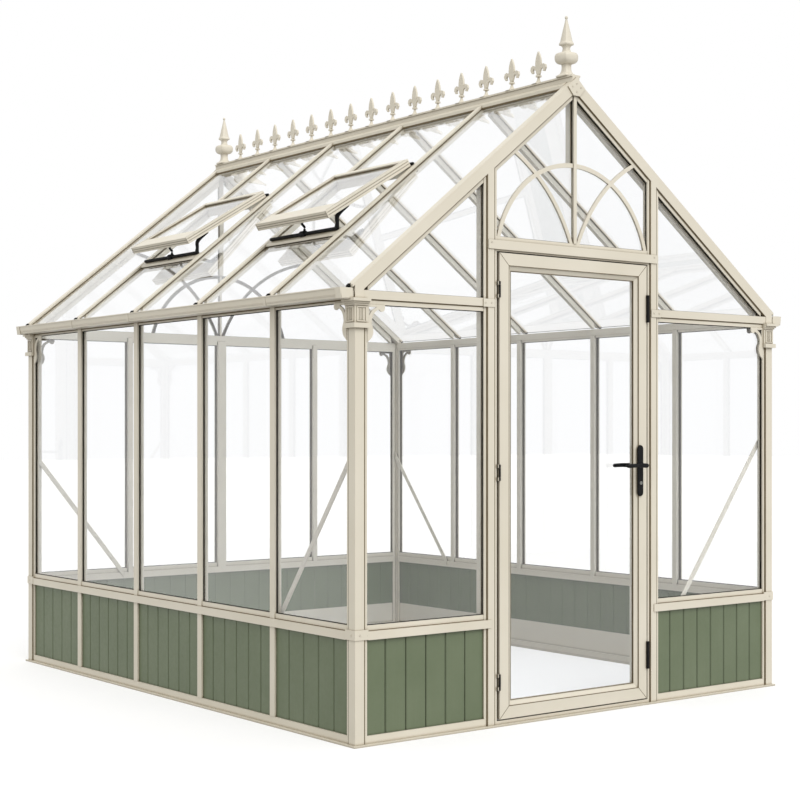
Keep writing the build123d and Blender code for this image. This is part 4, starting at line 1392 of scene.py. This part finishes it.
# painted shade lines on the vent frames
finishPiece("vent_shade_lines", ventShadeLines, "sealsAndPaintedShade")
finishPiece("vent_openers", openers, "black_fittings", stands=["vent_fittings"], smooth=40)
finishPiece("vent_seals", ventSeals, "sealsAndPaintedShade")
print("vents ready")


# stage, light and camera

stage = {"size": 60.0, "drop": 0.0005, "colour": (0.42, 0.42, 0.42), "roughness": 0.9, "lift": 0.56}


def seenRays(tree):
    # 1 for rays that reach the eye straight, by reflection or through glass
    path = tree.nodes.new("ShaderNodeLightPath")
    value = path.outputs["Is Camera Ray"]
    for name in ("Is Glossy Ray", "Is Transmission Ray"):
        larger = tree.nodes.new("ShaderNodeMath")
        larger.operation = "MAXIMUM"
        tree.links.new(value, larger.inputs[0])
        tree.links.new(path.outputs[name], larger.inputs[1])
        value = larger.outputs[0]
    return value


def addStage():
    size = stage["size"]
    mesh = bpy.data.meshes.new("floor")
    corners = [(-size, -size, 0), (size, -size, 0), (size, size, 0), (-size, size, 0)]
    mesh.from_pydata(corners, [], [(0, 1, 2, 3)])
    floor = bpy.data.objects.new("floor", mesh)
    floor.location.z = -stage["drop"]
    bpy.context.collection.objects.link(floor)
    material, tree, shader, output = newMaterial("paleFloor")
    shader.inputs["Base Color"].default_value = (*stage["colour"], 1)
    shader.inputs["Roughness"].default_value = stage["roughness"]
    # lifted to white for the view only, so it adds no light to the house
    lift = tree.nodes.new("ShaderNodeEmission")
    lift.inputs["Color"].default_value = (1, 1, 1, 1)
    strength = tree.nodes.new("ShaderNodeMath")
    strength.operation = "MULTIPLY"
    strength.inputs[1].default_value = stage["lift"]
    tree.links.new(seenRays(tree), strength.inputs[0])
    tree.links.new(strength.outputs[0], lift.inputs["Strength"])
    both = tree.nodes.new("ShaderNodeAddShader")
    tree.links.new(shader.outputs["BSDF"], both.inputs[0])
    tree.links.new(lift.outputs["Emission"], both.inputs[1])
    tree.links.new(both.outputs["Shader"], output.inputs["Surface"])
    mesh.materials.append(material)


lighting = {
    "worldStrength": 0.96,
    "worldColour": (1.0, 0.98, 0.93),
    "keyStrength": 1.45,
    "keyAngle": 40.0,
    "keyTurn": (48.0, 0.0, -10.0),
}


def addLight():
    world = bpy.data.worlds.new("softDay")
    bpy.context.scene.world = world
    world.use_nodes = True
    tree = world.node_tree
    tree.nodes.clear()
    output = tree.nodes.new("ShaderNodeOutputWorld")
    fill = tree.nodes.new("ShaderNodeBackground")
    seen = tree.nodes.new("ShaderNodeBackground")
    fill.inputs["Color"].default_value = (*lighting["worldColour"], 1)
    fill.inputs["Strength"].default_value = lighting["worldStrength"]
    seen.inputs["Color"].default_value = (1, 1, 1, 1)
    seen.inputs["Strength"].default_value = 1.0
    mix = tree.nodes.new("ShaderNodeMixShader")
    tree.links.new(seenRays(tree), mix.inputs["Fac"])
    tree.links.new(fill.outputs[0], mix.inputs[1])
    tree.links.new(seen.outputs[0], mix.inputs[2])
    tree.links.new(mix.outputs[0], output.inputs["Surface"])
    sun = bpy.data.lights.new("keySun", "SUN")
    sun.energy = lighting["keyStrength"]
    sun.angle = math.radians(lighting["keyAngle"])
    sunObject = bpy.data.objects.new("keySun", sun)
    sunObject.rotation_euler = [math.radians(a) for a in lighting["keyTurn"]]
    bpy.context.collection.objects.link(sunObject)


viewpoint = {
    "place": (-5.198, -6.900, 1.308),
    "turn": -37.668,
    "lens": 71.73,
    "sensor": 36.0,
    "shiftUp": 0.03896,
}


def addCamera():
    camera = bpy.data.cameras.new("viewCamera")
    camera.lens = viewpoint["lens"]
    camera.sensor_width = viewpoint["sensor"]
    camera.shift_y = viewpoint["shiftUp"]
    camera.clip_end = 300.0
    cameraObject = bpy.data.objects.new("viewCamera", camera)
    cameraObject.location = viewpoint["place"]
    cameraObject.rotation_euler = (math.radians(90), 0, math.radians(viewpoint["turn"]))
    bpy.context.collection.objects.link(cameraObject)
    bpy.context.scene.camera = cameraObject


addStage()
addLight()
addCamera()
bpy.context.scene.view_settings.view_transform = "Standard"
print("stage, light and camera ready")
